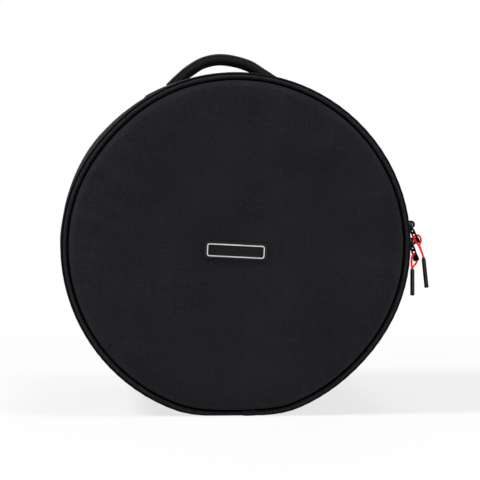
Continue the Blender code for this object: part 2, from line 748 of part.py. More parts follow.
def add_tab(name, place, lean, body):
    """A flat pull tab with three holes, hanging from the crown. It leans out from the
    vertical and is twisted about its length."""
    eye = TAB_EYE_WIDTH / 2
    middle = TAB_MIDDLE_WIDTH / 2
    wide = TAB_END_WIDTH / 2
    outline = [
        (eye - TAB_CORNER, TAB_START),
        (eye, TAB_START + TAB_CORNER),
        (eye, TAB_NECK_END - TAB_CORNER),
        (middle, TAB_NECK_END),
        (middle, TAB_FLARE_START),
        (wide, TAB_FLARE_END),
        (wide, TAB_LENGTH - TAB_CORNER),
        (wide - TAB_CORNER, TAB_LENGTH),
    ]
    outline += [(-across, along) for across, along in reversed(outline)]
    holes = []
    for start, end, width in TAB_HOLES:
        along = (start + end) / 2
        corners = rounded_rectangle(width, end - start, TAB_CORNER)
        holes.append([(x, y + along) for x, y in corners])
    solid = plate([outline, *holes], TAB_THICKNESS)
    lean_turn = math.radians(lean)
    twist = math.radians(TAB_TWIST)
    down = Vector((math.sin(lean_turn), 0, -math.cos(lean_turn)))
    out = Vector((math.cos(lean_turn), 0, math.sin(lean_turn)))
    back = Vector((0, 1, 0))
    across = back * math.cos(twist) - out * math.sin(twist)
    face = out * math.cos(twist) + back * math.sin(twist)
    hang = Matrix((across, down, face)).transposed().to_4x4()
    bmesh.ops.transform(solid, matrix=hang, verts=solid.verts)
    new_part(name, solid, "slider_metal", place, body)


def add_cord(name, points, place, body):
    """A pull cord, from the grip up through the tab's slot and back."""
    route = smooth_route([Vector(point) * MM for point in points], CORD_STEPS)
    new_part(name, tube(route, CORD_DIAMETER, 8), "pull_cord", place, body)


def add_grip(name, top, slant, place, body):
    """A rubber sleeve with its top from the knot, and a shallow recess in its lower end."""
    outline = [
        (0, 0),
        (GRIP_RADIUS - GRIP_ROUND, 0),
        (GRIP_RADIUS, -GRIP_ROUND),
        (GRIP_RADIUS, -GRIP_LENGTH),
        (GRIP_RECESS_RADIUS, -GRIP_LENGTH),
        (GRIP_RECESS_RADIUS, GRIP_RECESS_DEPTH - GRIP_LENGTH),
        (0, GRIP_RECESS_DEPTH - GRIP_LENGTH),
    ]
    solid = turned_solid(outline, (0, 360), GRIP_SIDES)
    lean, tilt = slant
    turn = Matrix.Rotation(math.radians(90), 4, "X")
    turn = Matrix.Rotation(math.radians(-tilt), 4, "X") @ turn
    turn = Matrix.Rotation(math.radians(-lean), 4, "Y") @ turn
    bmesh.ops.transform(solid, matrix=turn, verts=solid.verts)
    bmesh.ops.translate(solid, vec=top, verts=solid.verts)
    new_part(name, solid, "grip_rubber", place, body)


def add_pull(name, height, nose, lean, route, grip_top, grip_slant, knot, bag):
    """One slider with its tab, cord and grip, each on its own joint."""
    angle = math.asin(height / CROWN_CENTRE)
    crown = ZIP_CENTRE + Vector((CROWN_CENTRE * math.cos(angle), 0, height))
    knot_place = crown + Vector(knot) * MM
    top_from_knot = (Vector(grip_top) - Vector(knot)) * MM
    slider = pivot(name + "_slider_axis", ZIP_CENTRE, bag)
    tab = pivot(name + "_tab_axis", crown, slider)
    grip = pivot(name + "_grip_axis", knot_place, tab)
    add_slider(name + "_slider", angle, nose, slider)
    add_tab(name + "_pull_tab", crown, lean, tab)
    add_cord(name + "_pull_cord", route, crown, tab)
    add_grip(name + "_cord_grip", top_from_knot, grip_slant, knot_place, grip)


def build():
    clear_scene()
    make_collections()
    bag = pivot("bag", (0, 0, 0))
    lid = pivot("lid_hinge_axis", HINGE_AXIS, bag)
    handle = pivot("handle_tilt_axis", AXIS + Vector((0, 0, WALL_RADIUS - HANDLE_TILT_DROP)), bag)
    add_end("lid", FRONT_CROWN, list, lid)
    add_end("back", BACK_CROWN, mirrored, bag)
    add_side("lid", ZIP_Y, FRONT_CROWN, list, lid)
    add_side("body", -ZIP_Y, BACK_CROWN, mirrored, bag)
    add_hinge(bag)
    add_badge(lid)
    add_handle(bag, handle)
    add_pull(
        "upper",
        UPPER_CROWN_HEIGHT,
        -1,
        UPPER_TAB_LEAN,
        UPPER_CORD_ROUTE,
        UPPER_GRIP_TOP,
        UPPER_GRIP_SLANT,
        UPPER_KNOT,
        bag,
    )
    add_pull(
        "lower",
        LOWER_CROWN_HEIGHT,
        1,
        LOWER_TAB_LEAN,
        LOWER_CORD_ROUTE,
        LOWER_GRIP_TOP,
        LOWER_GRIP_SLANT,
        LOWER_KNOT,
        bag,
    )


build()
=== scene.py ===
"""The looks of a padded tom drum bag: woven cloth over foam, piped rims, a zip with two
corded pulls, a padded carry handle and a bare name plate. Lengths are in metres. Angles
round the bag are in degrees, read from the front, from 3 o'clock towards the top."""

import json
import math

import bmesh
import bpy
import numpy as np
from mathutils import Matrix, Vector


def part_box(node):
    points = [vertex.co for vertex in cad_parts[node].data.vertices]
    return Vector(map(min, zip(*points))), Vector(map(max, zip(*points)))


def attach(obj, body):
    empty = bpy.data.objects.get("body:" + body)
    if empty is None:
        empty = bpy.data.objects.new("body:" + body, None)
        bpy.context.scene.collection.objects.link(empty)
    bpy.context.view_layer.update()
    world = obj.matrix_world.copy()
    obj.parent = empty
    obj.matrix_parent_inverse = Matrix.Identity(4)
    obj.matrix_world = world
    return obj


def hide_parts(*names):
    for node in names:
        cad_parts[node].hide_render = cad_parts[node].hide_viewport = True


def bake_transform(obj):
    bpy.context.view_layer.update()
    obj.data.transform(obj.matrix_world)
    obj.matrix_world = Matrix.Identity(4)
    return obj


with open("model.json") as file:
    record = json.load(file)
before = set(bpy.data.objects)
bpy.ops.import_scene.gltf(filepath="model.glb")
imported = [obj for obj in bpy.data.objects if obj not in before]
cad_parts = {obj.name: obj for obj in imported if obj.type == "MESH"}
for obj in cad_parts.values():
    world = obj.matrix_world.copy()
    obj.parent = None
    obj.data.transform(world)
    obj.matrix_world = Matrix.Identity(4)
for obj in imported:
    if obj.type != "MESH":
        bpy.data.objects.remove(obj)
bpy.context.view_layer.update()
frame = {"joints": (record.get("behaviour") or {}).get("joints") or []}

MM = 0.001
JOINTS = {joint["name"]: Vector(joint["pos_m"]) for joint in frame["joints"]}

# Camera: its eye, the point that the picture's middle looks at, its lens and its sensor
EYE = Vector((-185, -3205, 334.6)) * MM
AIM = Vector((4.0, -205, 212.2)) * MM
LENS = 187.9
SENSOR = 36

# Studio: the floor and the distances between which it turns white, the share of the white
# surround that lights the bag, and the lamps' names, places, sizes in metres and powers
FLOOR_REACH = 30
FLOOR_FADE = (0.4, 1.3)
FLOOR_WHITE = 0.75
WORLD_LIGHT = 0.12
LAMP_AIM = (0, -0.1, 0.2)
LAMPS = [
    ("key", (-2.0, -0.75, 2.6), 1.0, 82),
    ("top", (0.6, -0.7, 3.0), 1.0, 22),
    ("front", (0.9, -3.2, 0.4), 2.0, 20),
    ("right", (2.7, -0.8, 1.0), 1.2, 20),
    ("back", (0.8, 2.8, 1.6), 1.6, 24),
]

# Pull cords. A point is (out, towards the back, up) in millimetres from the crown's centre.
CORD_DIAMETER = 2.5 * MM
CORD_SIDES = 16
CORD_STEPS = 6
UPPER_CORD_ROUTE = [
    (17.9, 5.2, -40.2), (17.0, 5.1, -36.4), (15.7, 4.8, -32.2), (14.2, 4.4, -28.4),
    (13.1, 3.9, -25.6), (13.6, 3.2, -23.4), (14.4, 2.6, -21.3), (14.6, 2.2, -18.8),
    (13.9, 1.8, -16.0), (12.4, 1.5, -13.9), (10.5, 1.3, -13.0), (8.6, 0.8, -13.2),
    (6.9, 0.0, -13.8), (5.8, -0.6, -15.2), (5.9, -1.1, -17.2), (6.7, -1.3, -19.2),
    (8.2, -1.1, -21.1), (9.9, -0.6, -22.9), (11.4, 0.2, -25.0), (13.0, 1.2, -27.9),
    (14.6, 2.0, -31.2), (16.1, 2.5, -34.7), (17.2, 2.8, -37.9), (17.9, 2.8, -40.2),
]
LOWER_CORD_ROUTE = [
    (2.2, -0.8, -33.8), (2.3, 0.0, -32.4), (3.4, 0.7, -30.9), (5.0, 1.3, -29.3), (6.8, 2.0, -27.4),
    (8.2, 2.7, -25.0), (8.5, 3.2, -22.2), (8.0, 3.3, -19.3), (7.4, 2.7, -16.8), (6.2, 1.4, -15.2),
    (4.7, 0.0, -14.9), (3.4, -1.0, -15.7), (2.3, -1.7, -17.5), (1.6, -2.0, -20.1),
    (1.3, -2.2, -23.1), (1.2, -2.4, -25.9), (1.2, -2.6, -28.1), (1.5, -2.8, -30.1),
    (2.0, -2.9, -31.6), (2.2, -3.1, -33.0),
]

# Sleeves on the cords: their outline as (radius, height) from the top in millimetres, and for
# each its top from the crown's centre, its lean and its tilt in degrees
GRIP_RADIUS = 2.65 * MM
GRIP_OUTLINE = [
    (0.0, 0.624), (0.972, 0.52), (1.62, 0.208), (1.944, -0.52), (2.16, -1.352), (2.538, -2.288),
    (2.646, -4.16), (2.5704, -12.48), (2.646, -20.8), (2.6136, -31.2), (2.6784, -35.776),
    (2.592, -36.608), (2.268, -36.92), (1.836, -36.712), (1.62, -35.984), (1.512, -33.904),
    (0.0, -33.592),
]
UPPER_GRIP = ((18.0, 4.0, -40.5), 6.2, 0)
LOWER_GRIP = ((2.2, -2.0, -33.4), -5, 35)

# The bag's main sizes, from the frame
WALL_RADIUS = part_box("body_side_shell")[1].x
AXIS_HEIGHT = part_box("body_side_shell")[1].z - WALL_RADIUS
FRONT_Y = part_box("lid_piping")[0].y
BACK_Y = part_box("back_piping")[1].y
ZIP_Y = JOINTS["lid_hinge"].y
RIM_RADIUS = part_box("lid_piping")[1].x
RIM_DEPTH = (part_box("lid_piping")[1].y - FRONT_Y) / 2
RIM_Y = -FRONT_Y - RIM_DEPTH
PIPING_RADIUS = 2.2 * MM
PIPING_CENTRE_RADIUS = RIM_RADIUS + 0.2 * MM - PIPING_RADIUS
PIPING_Y = RIM_Y + 0.3 * MM
PANEL_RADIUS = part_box("lid_panel_shell")[1].x
LID_CROWN = FRONT_Y + RIM_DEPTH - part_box("lid_panel_shell")[0].y
BACK_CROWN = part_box("back_panel_shell")[1].y - BACK_Y + RIM_DEPTH
LID_MOUTH_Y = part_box("lid_side_shell")[1].y
BODY_MOUTH_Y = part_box("body_side_shell")[0].y
SHOULDER_INSET = WALL_RADIUS - RIM_RADIUS
SHOULDER_END = -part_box("lid_side_shell")[0].y
SHOULDER_LENGTH = 6.2 * MM
SHOULDER_POWER = 4
ROLL_RADIUS = 1.2 * MM
ROLL_TUCK = 2.4 * MM
SAG = 2.2 * MM
PRESS_FADE_RADIUS = 189.7 * MM
PRESS_SOFTNESS = 8 * MM

# Where the padded rim has given a little inwards: angle, spread in degrees, depth. Behind the
# front it gives less, so that the sliders clear it.
DENTS = [(137, 20, 3.0 * MM), (315, 24, 3.0 * MM)]
DENT_BEHIND = 0.42
DENT_FRONT = -FRONT_Y - 5 * MM

# Cloth and padding. The threads of the main cloth are 0.7 mm apart on such bags; they are
# drawn 1.5 mm apart so that they show.
CLOTH = 1 * MM
THREAD_SPACING = 1.5 * MM
THIN_CLOTH = 0.7 * MM
PANEL_FOAM = 8 * MM
LAYER_GAP = 0.3 * MM
EDGE_POWER = 18
FACE_RIM = PANEL_RADIUS - 0.3 * MM
FACE_TUCK = 2.9 * MM
SEAM_ALLOWANCE = 4 * MM
# The near-black strip at the bottom of the groove between face and piping, which paints shade
# there: its outer radius and its thickness
PAINTED_SHADE_STRIP_RADIUS = PIPING_CENTRE_RADIUS - 0.8 * PIPING_RADIUS
PAINTED_SHADE_STRIP_THICKNESS = 0.5 * MM
TURN_STEPS = 288
FACE_STEPS = 84
LAYER_STEPS = 24
SIDE_STEP = 5 * MM
SHARP_EDGE = 40
WAVE_COUNT = 9
SEEDS = {"lid_face": 3, "back_face": 11, "lid_side": 21, "body_side": 5}

# The side's padding: how deep it lies under the zip's tape, its thickness there, and how far
# from the mouth it steps up
PADDING_DEPTH = 0.9 * MM
PADDING_THICKNESS = 9.1 * MM
PADDING_STEP = 8.3 * MM

# The sleeve over the piping's joint: its stretch of the rim, how far it wraps the piping, and
# the radii of its two faces
SLEEVE_ARC = (272, 277)
SLEEVE_WRAP = (36, 172)
SLEEVE_INNER = PIPING_RADIUS + 0.15 * MM
SLEEVE_OUTER = PIPING_RADIUS + 1.3 * MM

# How far the cloth stands out, in millimetres: evenly, then the heights of slow and of short
# swells, each with its length. A fold of height 1 stands this much higher. The face lies flat
# up to the first distance from the name plate's middle, and is free from the second.
FACE_SWELLS = (1.8, 1.0, 110 * MM, 0.25, 40 * MM)
SIDE_SWELLS = (0.6, 0.4, 120 * MM, 0.15, 40 * MM)
FOLD_HEIGHT = 3
BADGE_CALM = (36 * MM, 90 * MM)

# Small waves at the seams: how many there are round the bag, and how far and how often they
# drift apart and together
FACE_GATHERS = (104, 2, 7)
SIDE_GATHERS = (96, 2.5, 5)
PIPING_GATHERS = (150, 2, 9)

# Folds and dents of the lid's face, in millimetres right of and above its middle: two ends,
# half width and height. They follow the photograph.
FACE_FOLDS = [
    (-199, 42, -140, 18, 9, 0.9), (-196, 8, -150, -6, 7, 0.7), (-190, 66, -128, 34, 10, 0.8),
    (-174, 100, -120, 62, 12, 0.9), (-150, 132, -104, 84, 10, 0.8), (-112, 166, -96, 110, 12, 1.0),
    (-60, 190, -44, 140, 14, 0.7), (16, 192, 20, 150, 12, 0.7), (60, 182, 50, 130, 13, 0.9),
    (128, 148, 96, 104, 12, 0.9), (160, 118, 140, 100, 4, 0.7), (199, 64, 160, 58, 4, 0.7),
    (199, -30, 110, -18, 12, 0.9), (199, -34, 168, -33, 2.6, 0.5), (150, -96, 166, -112, 3, 0.8),
    (14, -186, 24, -152, 3, 0.6), (44, -182, 52, -158, 3, 0.6), (66, -172, 60, -146, 4, 0.5),
    (-180, -20, -168, -80, 20, 0.7), (-168, -80, -128, -128, 22, 0.9),
    (-128, -128, -76, -164, 20, 0.7), (-62, 146, -72, 118, 20, -1.0),
    (-160, 84, -178, 56, 12, -0.7), (96, 141, 101, 130, 19, -1.0), (118, 98, 124, 90, 18, -0.7),
    (20, -40, 44, -76, 6, 0.3), (160, -34, 76, -26, 26, 0.5),
]
BACK_FOLDS = [
    (-190, 50, -120, 30, 10, 0.6), (-120, 150, -70, 100, 12, 0.7), (60, 180, 50, 120, 11, 0.6),
    (196, -20, 150, -24, 4, 0.8), (150, -110, 110, -90, 10, 0.6), (-30, -186, -20, -140, 5, 0.6),
]

# Zip
ZIP_ARC = (-160, 160)
HINGE_ARC = (160.1, 199.9)
TOOTH = (1.7 * MM, 3.5 * MM, 2.3 * MM)
TOOTH_PITCH = 2.2 * MM
TOOTH_MIDDLE = 2.35 * MM
TOOTH_EDGE = 0.5 * MM

# Sliders: their plates' radii from the bag's axis, and the crown's arch over the upper one
PLATE_TOP = 211 * MM
PLATE_UNDER = 206.2 * MM
PLATE_THICKNESS = 1.3 * MM
PLATE_HALF_LENGTH = 7 * MM
PLATE_NOSE = 5 * MM
PLATE_TAIL = 3.8 * MM
CROWN_FOOT = 211.7 * MM
CROWN_MIDDLE = 213.9 * MM
CROWN_REACH = 3.5 * MM
CROWN_STRETCH = 1.55
CROWN_SECTION = (1.7 * MM, 1.5 * MM)
LIP = (1.4 * MM, 0.7 * MM, 6.4 * MM)
LIP_RADIUS = PLATE_TOP - 0.35 * MM
LIP_ACROSS = 4.5 * MM
LIP_ALONG = 2 * MM
POST = (4.6 * MM, 1 * MM, 3 * MM)
POST_ALONG = 5.4 * MM

# Pull tabs, in millimetres down from the crown: half the outline, and the holes' start, end
# and width
TAB_OUTLINE = [
    (2.2, 1.4), (3.2, 2.4), (3.2, 6.4), (4.0, 7.4), (4.0, 17), (4.8, 19.5), (4.8, 24), (3.6, 25),
]
TAB_HOLES = [(3.2, 5.4, 2.4), (7.8, 9.9, 3.4), (12.6, 17.1, 3.4)]
TAB_THICKNESS = 1.1 * MM
TAB_EDGE = 0.25 * MM
TAB_CORNER = 0.8 * MM
TAB_HOLE_CORNER = 1.2 * MM
TAB_HEAD = (-3.2, -3, 0, 3, 3.2)
TAB_HEAD_RADIUS = 1.9 * MM
TAB_HEAD_PLACE = 0.2 * MM
TAB_TWIST = 38
TAB_LEANS = {"upper": 25, "lower": 18}

# Name plate
BADGE_LENGTH = 77 * MM
BADGE_HEIGHT = 21 * MM
BADGE_TILT = 3
BADGE_CORNER = 1.2 * MM
BADGE_EDGE = 0.45 * MM
BADGE_SEAM = (2 * MM, 1.3 * MM)
BADGE_SEAM_CORNER = 1.5 * MM
BORDER_LENGTH = 69.3 * MM
BORDER_HEIGHT = 15.5 * MM
BORDER_WIDTH = 1.3 * MM
BORDER_CORNER = 3 * MM
BORDER_THICKNESS = 0.9 * MM

# Stitches
STITCH = 3.2 * MM
STITCH_GAP = 0.9 * MM
THREAD = 0.55 * MM

# Handle: its route in shares of the half span and of the rise from its feet, and two places
# (out, above the bag's axis), at the patch and at the padded middle
HANDLE_HALF_SPAN = 72 * MM
HANDLE_FOOT = WALL_RADIUS - 17.2 * MM
HANDLE_RISE = 34.8 * MM
HANDLE_ROUTE_SHARES = [
    (-1.0, -0.05), (-0.84, 0.27), (-0.64, 0.62), (-0.37, 0.92), (-0.05, 1.0), (0.35, 0.81),
    (0.62, 0.48), (0.83, 0.20), (1.0, -0.02),
]
HANDLE_STEPS = 12
PAD_THICKNESS = 12.6 * MM
PAD_WIDTH = 20 * MM
PAD_SIDES = 28
PAD_HALF_LENGTH = 34 * MM
PAD_RIPPLE = 0.035
PAD_RIPPLE_LENGTH = 3.4 * MM
PAD_RIPPLE_DRIFT = 6 * MM
PAD_BEND = (18 * MM, 46 * MM)
HANDLE_BENDS = [(62 * MM, 203 * MM), (PAD_HALF_LENGTH, 219 * MM)]
STRAP_THICKNESS = 2 * MM
STRAP_WIDTH = 13 * MM
STRAP_POINTS = 13
STRAP_STITCH_ROWS = (2, 10)
ANCHOR_ARCS = {"right": (60, 80), "left": (100, 120)}
ANCHOR_THICKNESS = 2 * MM
ANCHOR_CORNER = 0.7 * MM
ANCHOR_TOP = WALL_RADIUS + 2.45 * MM
ANCHOR_INSET = 3 * MM


def linear(code):
    """An sRGB hex colour as linear RGBA."""
    shares = [int(code[i : i + 2], 16) / 255 for i in (0, 2, 4)]
    return [s / 12.92 if s <= 0.04045 else ((s + 0.055) / 1.055) ** 2.4 for s in shares] + [1]


def add(tree, kind, inputs=(), **settings):
    """A shader node. Its inputs are values, sockets or other nodes, by name or in a row."""
    node = tree.nodes.new("ShaderNode" + kind)
    for name, value in settings.items():
        setattr(node, name, value)
    if not isinstance(inputs, dict):
        inputs = dict(enumerate(inputs))
    for socket, value in inputs.items():
        if isinstance(value, bpy.types.Node):
            value = value.outputs[0]
        if isinstance(value, bpy.types.NodeSocket):
            tree.links.new(value, node.inputs[socket])
        else:
            node.inputs[socket].default_value = value
    return node


def finish(name, colour, roughness, **sockets):
    """A material with its constant values on the shader's own sockets."""
    material = bpy.data.materials.new(name)
    material.use_nodes = True
    shader = material.node_tree.nodes["Principled BSDF"]
    shader.inputs["Base Color"].default_value = linear(colour)
    shader.inputs["Roughness"].default_value = roughness
    for socket, value in sockets.items():
        shader.inputs[socket.replace("_", " ")].default_value = value
    material.diffuse_color = linear(colour)
    return material, material.node_tree, shader


def cloth_axes(tree):
    """Lengths along the cloth's own two directions."""
    return add(tree, "SeparateXYZ", [add(tree, "UVMap", uv_map="cloth")]).outputs


def ribs(tree, along, pitch):
    """Rounded ridges, pitch apart, along one axis."""
    turn = add(tree, "Math", [along, math.pi / pitch], operation="MULTIPLY")
    sine = add(tree, "Math", [turn], operation="SINE")
    return add(tree, "Math", [sine], operation="ABSOLUTE")


def unevenness(tree, size, detail=3):
    """Smooth noise about size long, from the piece's place."""
    place = add(tree, "TexCoord").outputs["Object"]
    return add(tree, "TexNoise", {"Vector": place, "Scale": 1 / size, "Detail": detail})


def dye_and_raise(tree, shader, grain, levels, colours, height, depth):
    """Colour a surface from dark to light as its grain runs between two levels, and raise it
    by up to depth where its height is 1."""
    ramp = add(tree, "ValToRGB", [grain])
    for stop, level, colour in zip(ramp.color_ramp.elements, levels, colours):
        stop.position = level
        stop.color = linear(colour)
    bump = add(tree, "Bump", {"Height": height, "Distance": depth})
    tree.links.new(ramp.outputs[0], shader.inputs["Base Color"])
    tree.links.new(bump.outputs[0], shader.inputs["Normal"])


def woven(name, dark, light):
    """Coarse plain-woven polyester with a matt coat on its back: small plump cells where the
    yarns cross, yarns that vary, soft clouds where the cloth was handled, and a faint fuzz."""
    material, tree, shader = finish(
        name, light, 0.8, Specular_IOR_Level=0.06, Sheen_Weight=0.04, Sheen_Roughness=0.4
    )
    across, along, _ = cloth_axes(tree)
    crossing = [ribs(tree, across, THREAD_SPACING), ribs(tree, along, THREAD_SPACING)]
    cell = add(tree, "Math", crossing, operation="MULTIPLY")
    yarn = unevenness(tree, 2.2 * THREAD_SPACING, 2)
    clouds = unevenness(tree, 70 * MM, 4)
    grain = 0.0
    for part, share in ((clouds, 0.3), (yarn, 0.42), (cell, 0.28)):
        grain = add(tree, "Math", [part, share, grain], operation="MULTIPLY_ADD")
    plump = add(tree, "Math", [yarn, 0.8, cell], operation="MULTIPLY_ADD")
    dye_and_raise(tree, shader, grain, (0.28, 0.66), (dark, light), plump, 0.4 * MM)
    return material


def ribbed_tape(name, dark, light, rib, roughness):
    """Narrow woven nylon or polyester: close ribs across its length, which catch the light."""
    material, tree, shader = finish(name, light, roughness, Specular_IOR_Level=0.04)
    along, across, _ = cloth_axes(tree)
    crossing = [ribs(tree, across, 2 * rib), 0.4, ribs(tree, along, rib)]
    lines = add(tree, "Math", crossing, operation="MULTIPLY_ADD")
    yarn = unevenness(tree, 3 * rib, 2)
    dye_and_raise(tree, shader, yarn, (0.3, 0.7), (dark, light), lines, 0.25 * MM)
    return material


def knitted_lining(name, dark, light):
    """Warp-knitted polyester lining: smooth, with fine wales and a soft gloss."""
    material, tree, shader = finish(name, light, 0.55, Specular_IOR_Level=0.4, Sheen_Weight=0.1)
    wales = ribs(tree, cloth_axes(tree)[0], 1.6 * MM)
    clouds = unevenness(tree, 60 * MM)
    dye_and_raise(tree, shader, clouds, (0.3, 0.7), (dark, light), wales, 0.12 * MM)
    return material


def foam_sheet(name, dark, light):
    """Closed-cell polyethylene foam: a dull skin with fine pores."""
    material, tree, shader = finish(name, light, 0.9, Specular_IOR_Level=0.25)
    place = add(tree, "TexCoord").outputs["Object"]
    pores = add(tree, "TexVoronoi", {"Vector": place, "Scale": 1 / (1.2 * MM)})
    dye_and_raise(tree, shader, pores, (0.1, 0.6), (dark, light), pores, 0.2 * MM)
    return material


def moulded(name, dark, light, roughness, grain, depth, gloss=0.5, **sockets):
    """Moulded or coated: an even colour with slight wear, over a fine orange-peel skin."""
    material, tree, shader = finish(name, light, roughness, Specular_IOR_Level=gloss, **sockets)
    wear = unevenness(tree, 12 * grain, 4)
    skin = unevenness(tree, grain, 2)
    dye_and_raise(tree, shader, wear, (0.3, 0.7), (dark, light), skin, depth)
    return material


def braided_cord_with_painted_glow(name, dark, light):
    """Braided polyester cord: two sets of strands that cross aslant, dark in the gaps. Its
    fluorescent red is also given a faint glow of its own colour, painted light that keeps it
    bright whatever light falls on it."""
    material, tree, shader = finish(
        name,
        light,
        0.5,
        Specular_IOR_Level=0.15,
        Sheen_Weight=0.05,
        Sheen_Roughness=0.4,
        # Painted glow: the cord gives off a little light of its own red
        Emission_Color=linear(light),
        Emission_Strength=0.3,
    )
    along, around, _ = cloth_axes(tree)
    slants = [add(tree, "Math", [along, around], operation=way) for way in ("ADD", "SUBTRACT")]
    strands = [ribs(tree, slant, 1.1 * MM) for slant in slants]
    braid = add(tree, "Math", strands, operation="MULTIPLY")
    dye_and_raise(tree, shader, braid, (0.0, 0.45), (dark, light), braid, 0.2 * MM)
    return material


# Each finish with the record's material slot that it belongs to
FINISHES = {
    "cloth": (woven("woven_polyester", "161619", "28282d"), "woven_fabric"),
    "side cloth": (woven("woven_polyester_side", "121213", "1e1e20"), "woven_fabric"),
    "piping": (ribbed_tape("bias_tape", "1b1b1e", "2b2b31", 0.9 * MM, 0.6), "webbing"),
    "webbing": (ribbed_tape("nylon_webbing", "1f1f22", "303034", 1.4 * MM, 0.55), "webbing"),
    "tape": (ribbed_tape("zip_tape", "0f0f11", "1c1c20", 0.8 * MM, 0.7), "webbing"),
    # Near-black strip for the bottom of the rims' grooves: painted shade, darker than the groove's
    # own shadow
    "painted groove shade": (ribbed_tape("painted_groove_shade", "040404", "08080a", 0.8 * MM, 0.9), "webbing"),
    "lining": (knitted_lining("tricot_lining", "17171a", "242428"), "lining"),
    "foam": (foam_sheet("closed_cell_foam", "2b2b2e", "424246"), "padding"),
    "thread": (
        moulded("bonded_thread", "101013", "2a2a30", 0.6, 0.4 * MM, 0.05 * MM, Sheen_Weight=0.2),
        "woven_fabric",
    ),
    "coil": (moulded("nylon_coil", "0c0c0d", "19191b", 0.38, 1 * MM, 0.03 * MM), "zip_plastic"),
    "enamel": (
        moulded("enamelled_zinc", "060607", "0e0e10", 0.4, 0.8 * MM, 0.015 * MM, gloss=0.12),
        "slider_metal",
    ),
    "rubber": (
        moulded("moulded_pvc", "08080a", "0e0e10", 0.5, 0.5 * MM, 0.03 * MM, gloss=0.12),
        "badge_rubber",
    ),
    "silver": (
        moulded("silver_foil", "c4c2c4", "dcdadc", 0.38, 0.6 * MM, 0.02 * MM, Metallic=0.3),
        "badge_silver",
    ),
    "cord": (braided_cord_with_painted_glow("braided_cord_with_painted_glow", "ec0c12", "ff1c1c"), "pull_cord"),
    "sleeve": (
        moulded("heat_shrunk_sleeve", "0a0a0b", "131315", 0.3, 1.2 * MM, 0.03 * MM, gloss=0.2),
        "grip_rubber",
    ),
}


def placed(name, data):
    """An object in the scene."""
    obj = bpy.data.objects.new(name, data)
    bpy.context.scene.collection.objects.link(obj)
    return obj


def opened(mesh):
    """A bmesh in a mesh's place."""
    solid = bmesh.new()
    solid.from_mesh(mesh)
    bpy.data.meshes.remove(mesh)
    return solid


def moved(solid, matrix):
    """The same bmesh, moved by a matrix."""
    bmesh.ops.transform(solid, matrix=matrix, verts=solid.verts)
    return solid


def facing(place, aim):
    """The turn that points a camera or a lamp from its place at its aim."""
    return (Vector(aim) - Vector(place)).to_track_quat("-Z", "Y").to_euler()


def piece(name, solid, look, body=None, stands_for=()):
    """A piece from a bmesh: cleaned, faces pointing out, smooth but for its sharp edges, with
    its finish, riding on its body and standing for its nodes."""
    bmesh.ops.remove_doubles(solid, verts=solid.verts, dist=0.002 * MM)
    bmesh.ops.dissolve_degenerate(solid, edges=solid.edges, dist=0.001 * MM)
    bmesh.ops.recalc_face_normals(solid, faces=solid.faces)
    if solid.calc_volume(signed=True) < 0:
        bmesh.ops.reverse_faces(solid, faces=solid.faces)
    data = bpy.data.meshes.new(name)
    solid.to_mesh(data)
    solid.free()
    data.shade_smooth()
    data.set_sharp_from_angle(angle=math.radians(SHARP_EDGE))
    material, slot = FINISHES[look]
    data.materials.append(material)
    obj = placed(name, data)
    if body:
        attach(obj, body)
    if stands_for:
        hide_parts(*stands_for)
    return obj


def grid_mesh(grid, cloth, wraps):
    """A mesh through rows of points, with the cloth's own axes as its UV map. The cloth's
    array has one more row or column where the mesh closes on itself. Open ends are capped."""
    rows, columns = grid.shape[:2]
    i, j = np.meshgrid(
        np.arange(rows if wraps[0] else rows - 1),
        np.arange(columns if wraps[1] else columns - 1),
        indexing="ij",
    )
    corners = [(i, j), (i + 1, j), (i + 1, j + 1), (i, j + 1)]
    faces = np.stack([a % rows * columns + b % columns for a, b in corners], axis=-1)
    mesh = bpy.data.meshes.new("grid")
    mesh.from_pydata(grid.reshape(-1, 3), [], faces.reshape(-1, 4).tolist())
    places = np.stack([cloth[a, b] for a, b in corners], axis=-2)
    mesh.uv_layers.new(name="cloth").data.foreach_set("uv", places.astype(np.float32).ravel())
    solid = opened(mesh)
    bmesh.ops.remove_doubles(solid, verts=solid.verts, dist=0.002 * MM)
    rims = [edge for edge in solid.edges if edge.is_boundary]
    if rims:
        bmesh.ops.holes_fill(solid, edges=rims, sides=0)
    return solid


def paired(a, b):
    """Every value of a with every value of b, as rows and columns."""
    return np.stack(np.meshgrid(a, b, indexing="ij"), axis=-1)


def run(points):
    """The length along a line at each of its points."""
    steps = np.linalg.norm(np.diff(points, axis=0), axis=1)
    return np.concatenate([[0], np.cumsum(steps)])


def round_axis(radius, y, turns):
    """Points at a radius and y, turned about the bag's axis."""
    places = radius * np.cos(turns), y, radius * np.sin(turns)
    return np.stack(np.broadcast_arrays(*places), axis=-1)


def soft_steps(value, low, high):
    """0 below low, 1 above high, and a smooth rise between."""
    share = np.clip((value - low) / (high - low), 0, 1)
    return share * share * (3 - 2 * share)


def waves(points, length, seed):
    """A repeatable smooth unevenness, from about -1 to 1, with swells about length long."""
    draw = np.random.RandomState(seed)
    total = np.zeros(points.shape[:-1])
    for _ in range(WAVE_COUNT):
        way = draw.normal(size=3)
        way *= 2 * math.pi / length * draw.uniform(0.6, 1.5) / np.linalg.norm(way)
        total += np.sin(points @ way + draw.uniform(0, 2 * math.pi))
    return total / math.sqrt(WAVE_COUNT)


def swells(points, sizes, seed):
    """How far cloth stands out evenly and in slow and short swells, in millimetres."""
    even, slow, slow_length, short, short_length = sizes
    slowly = even + slow * waves(points, slow_length, seed)
    return slowly + short * waves(points, short_length, seed + 1)


def gathered(turns, count, drift, drifts, shift=0):
    """Small waves round the bag, from -1 to 1, which drift apart and together."""
    return np.cos(turns * count + shift + drift * np.sin(turns * drifts))


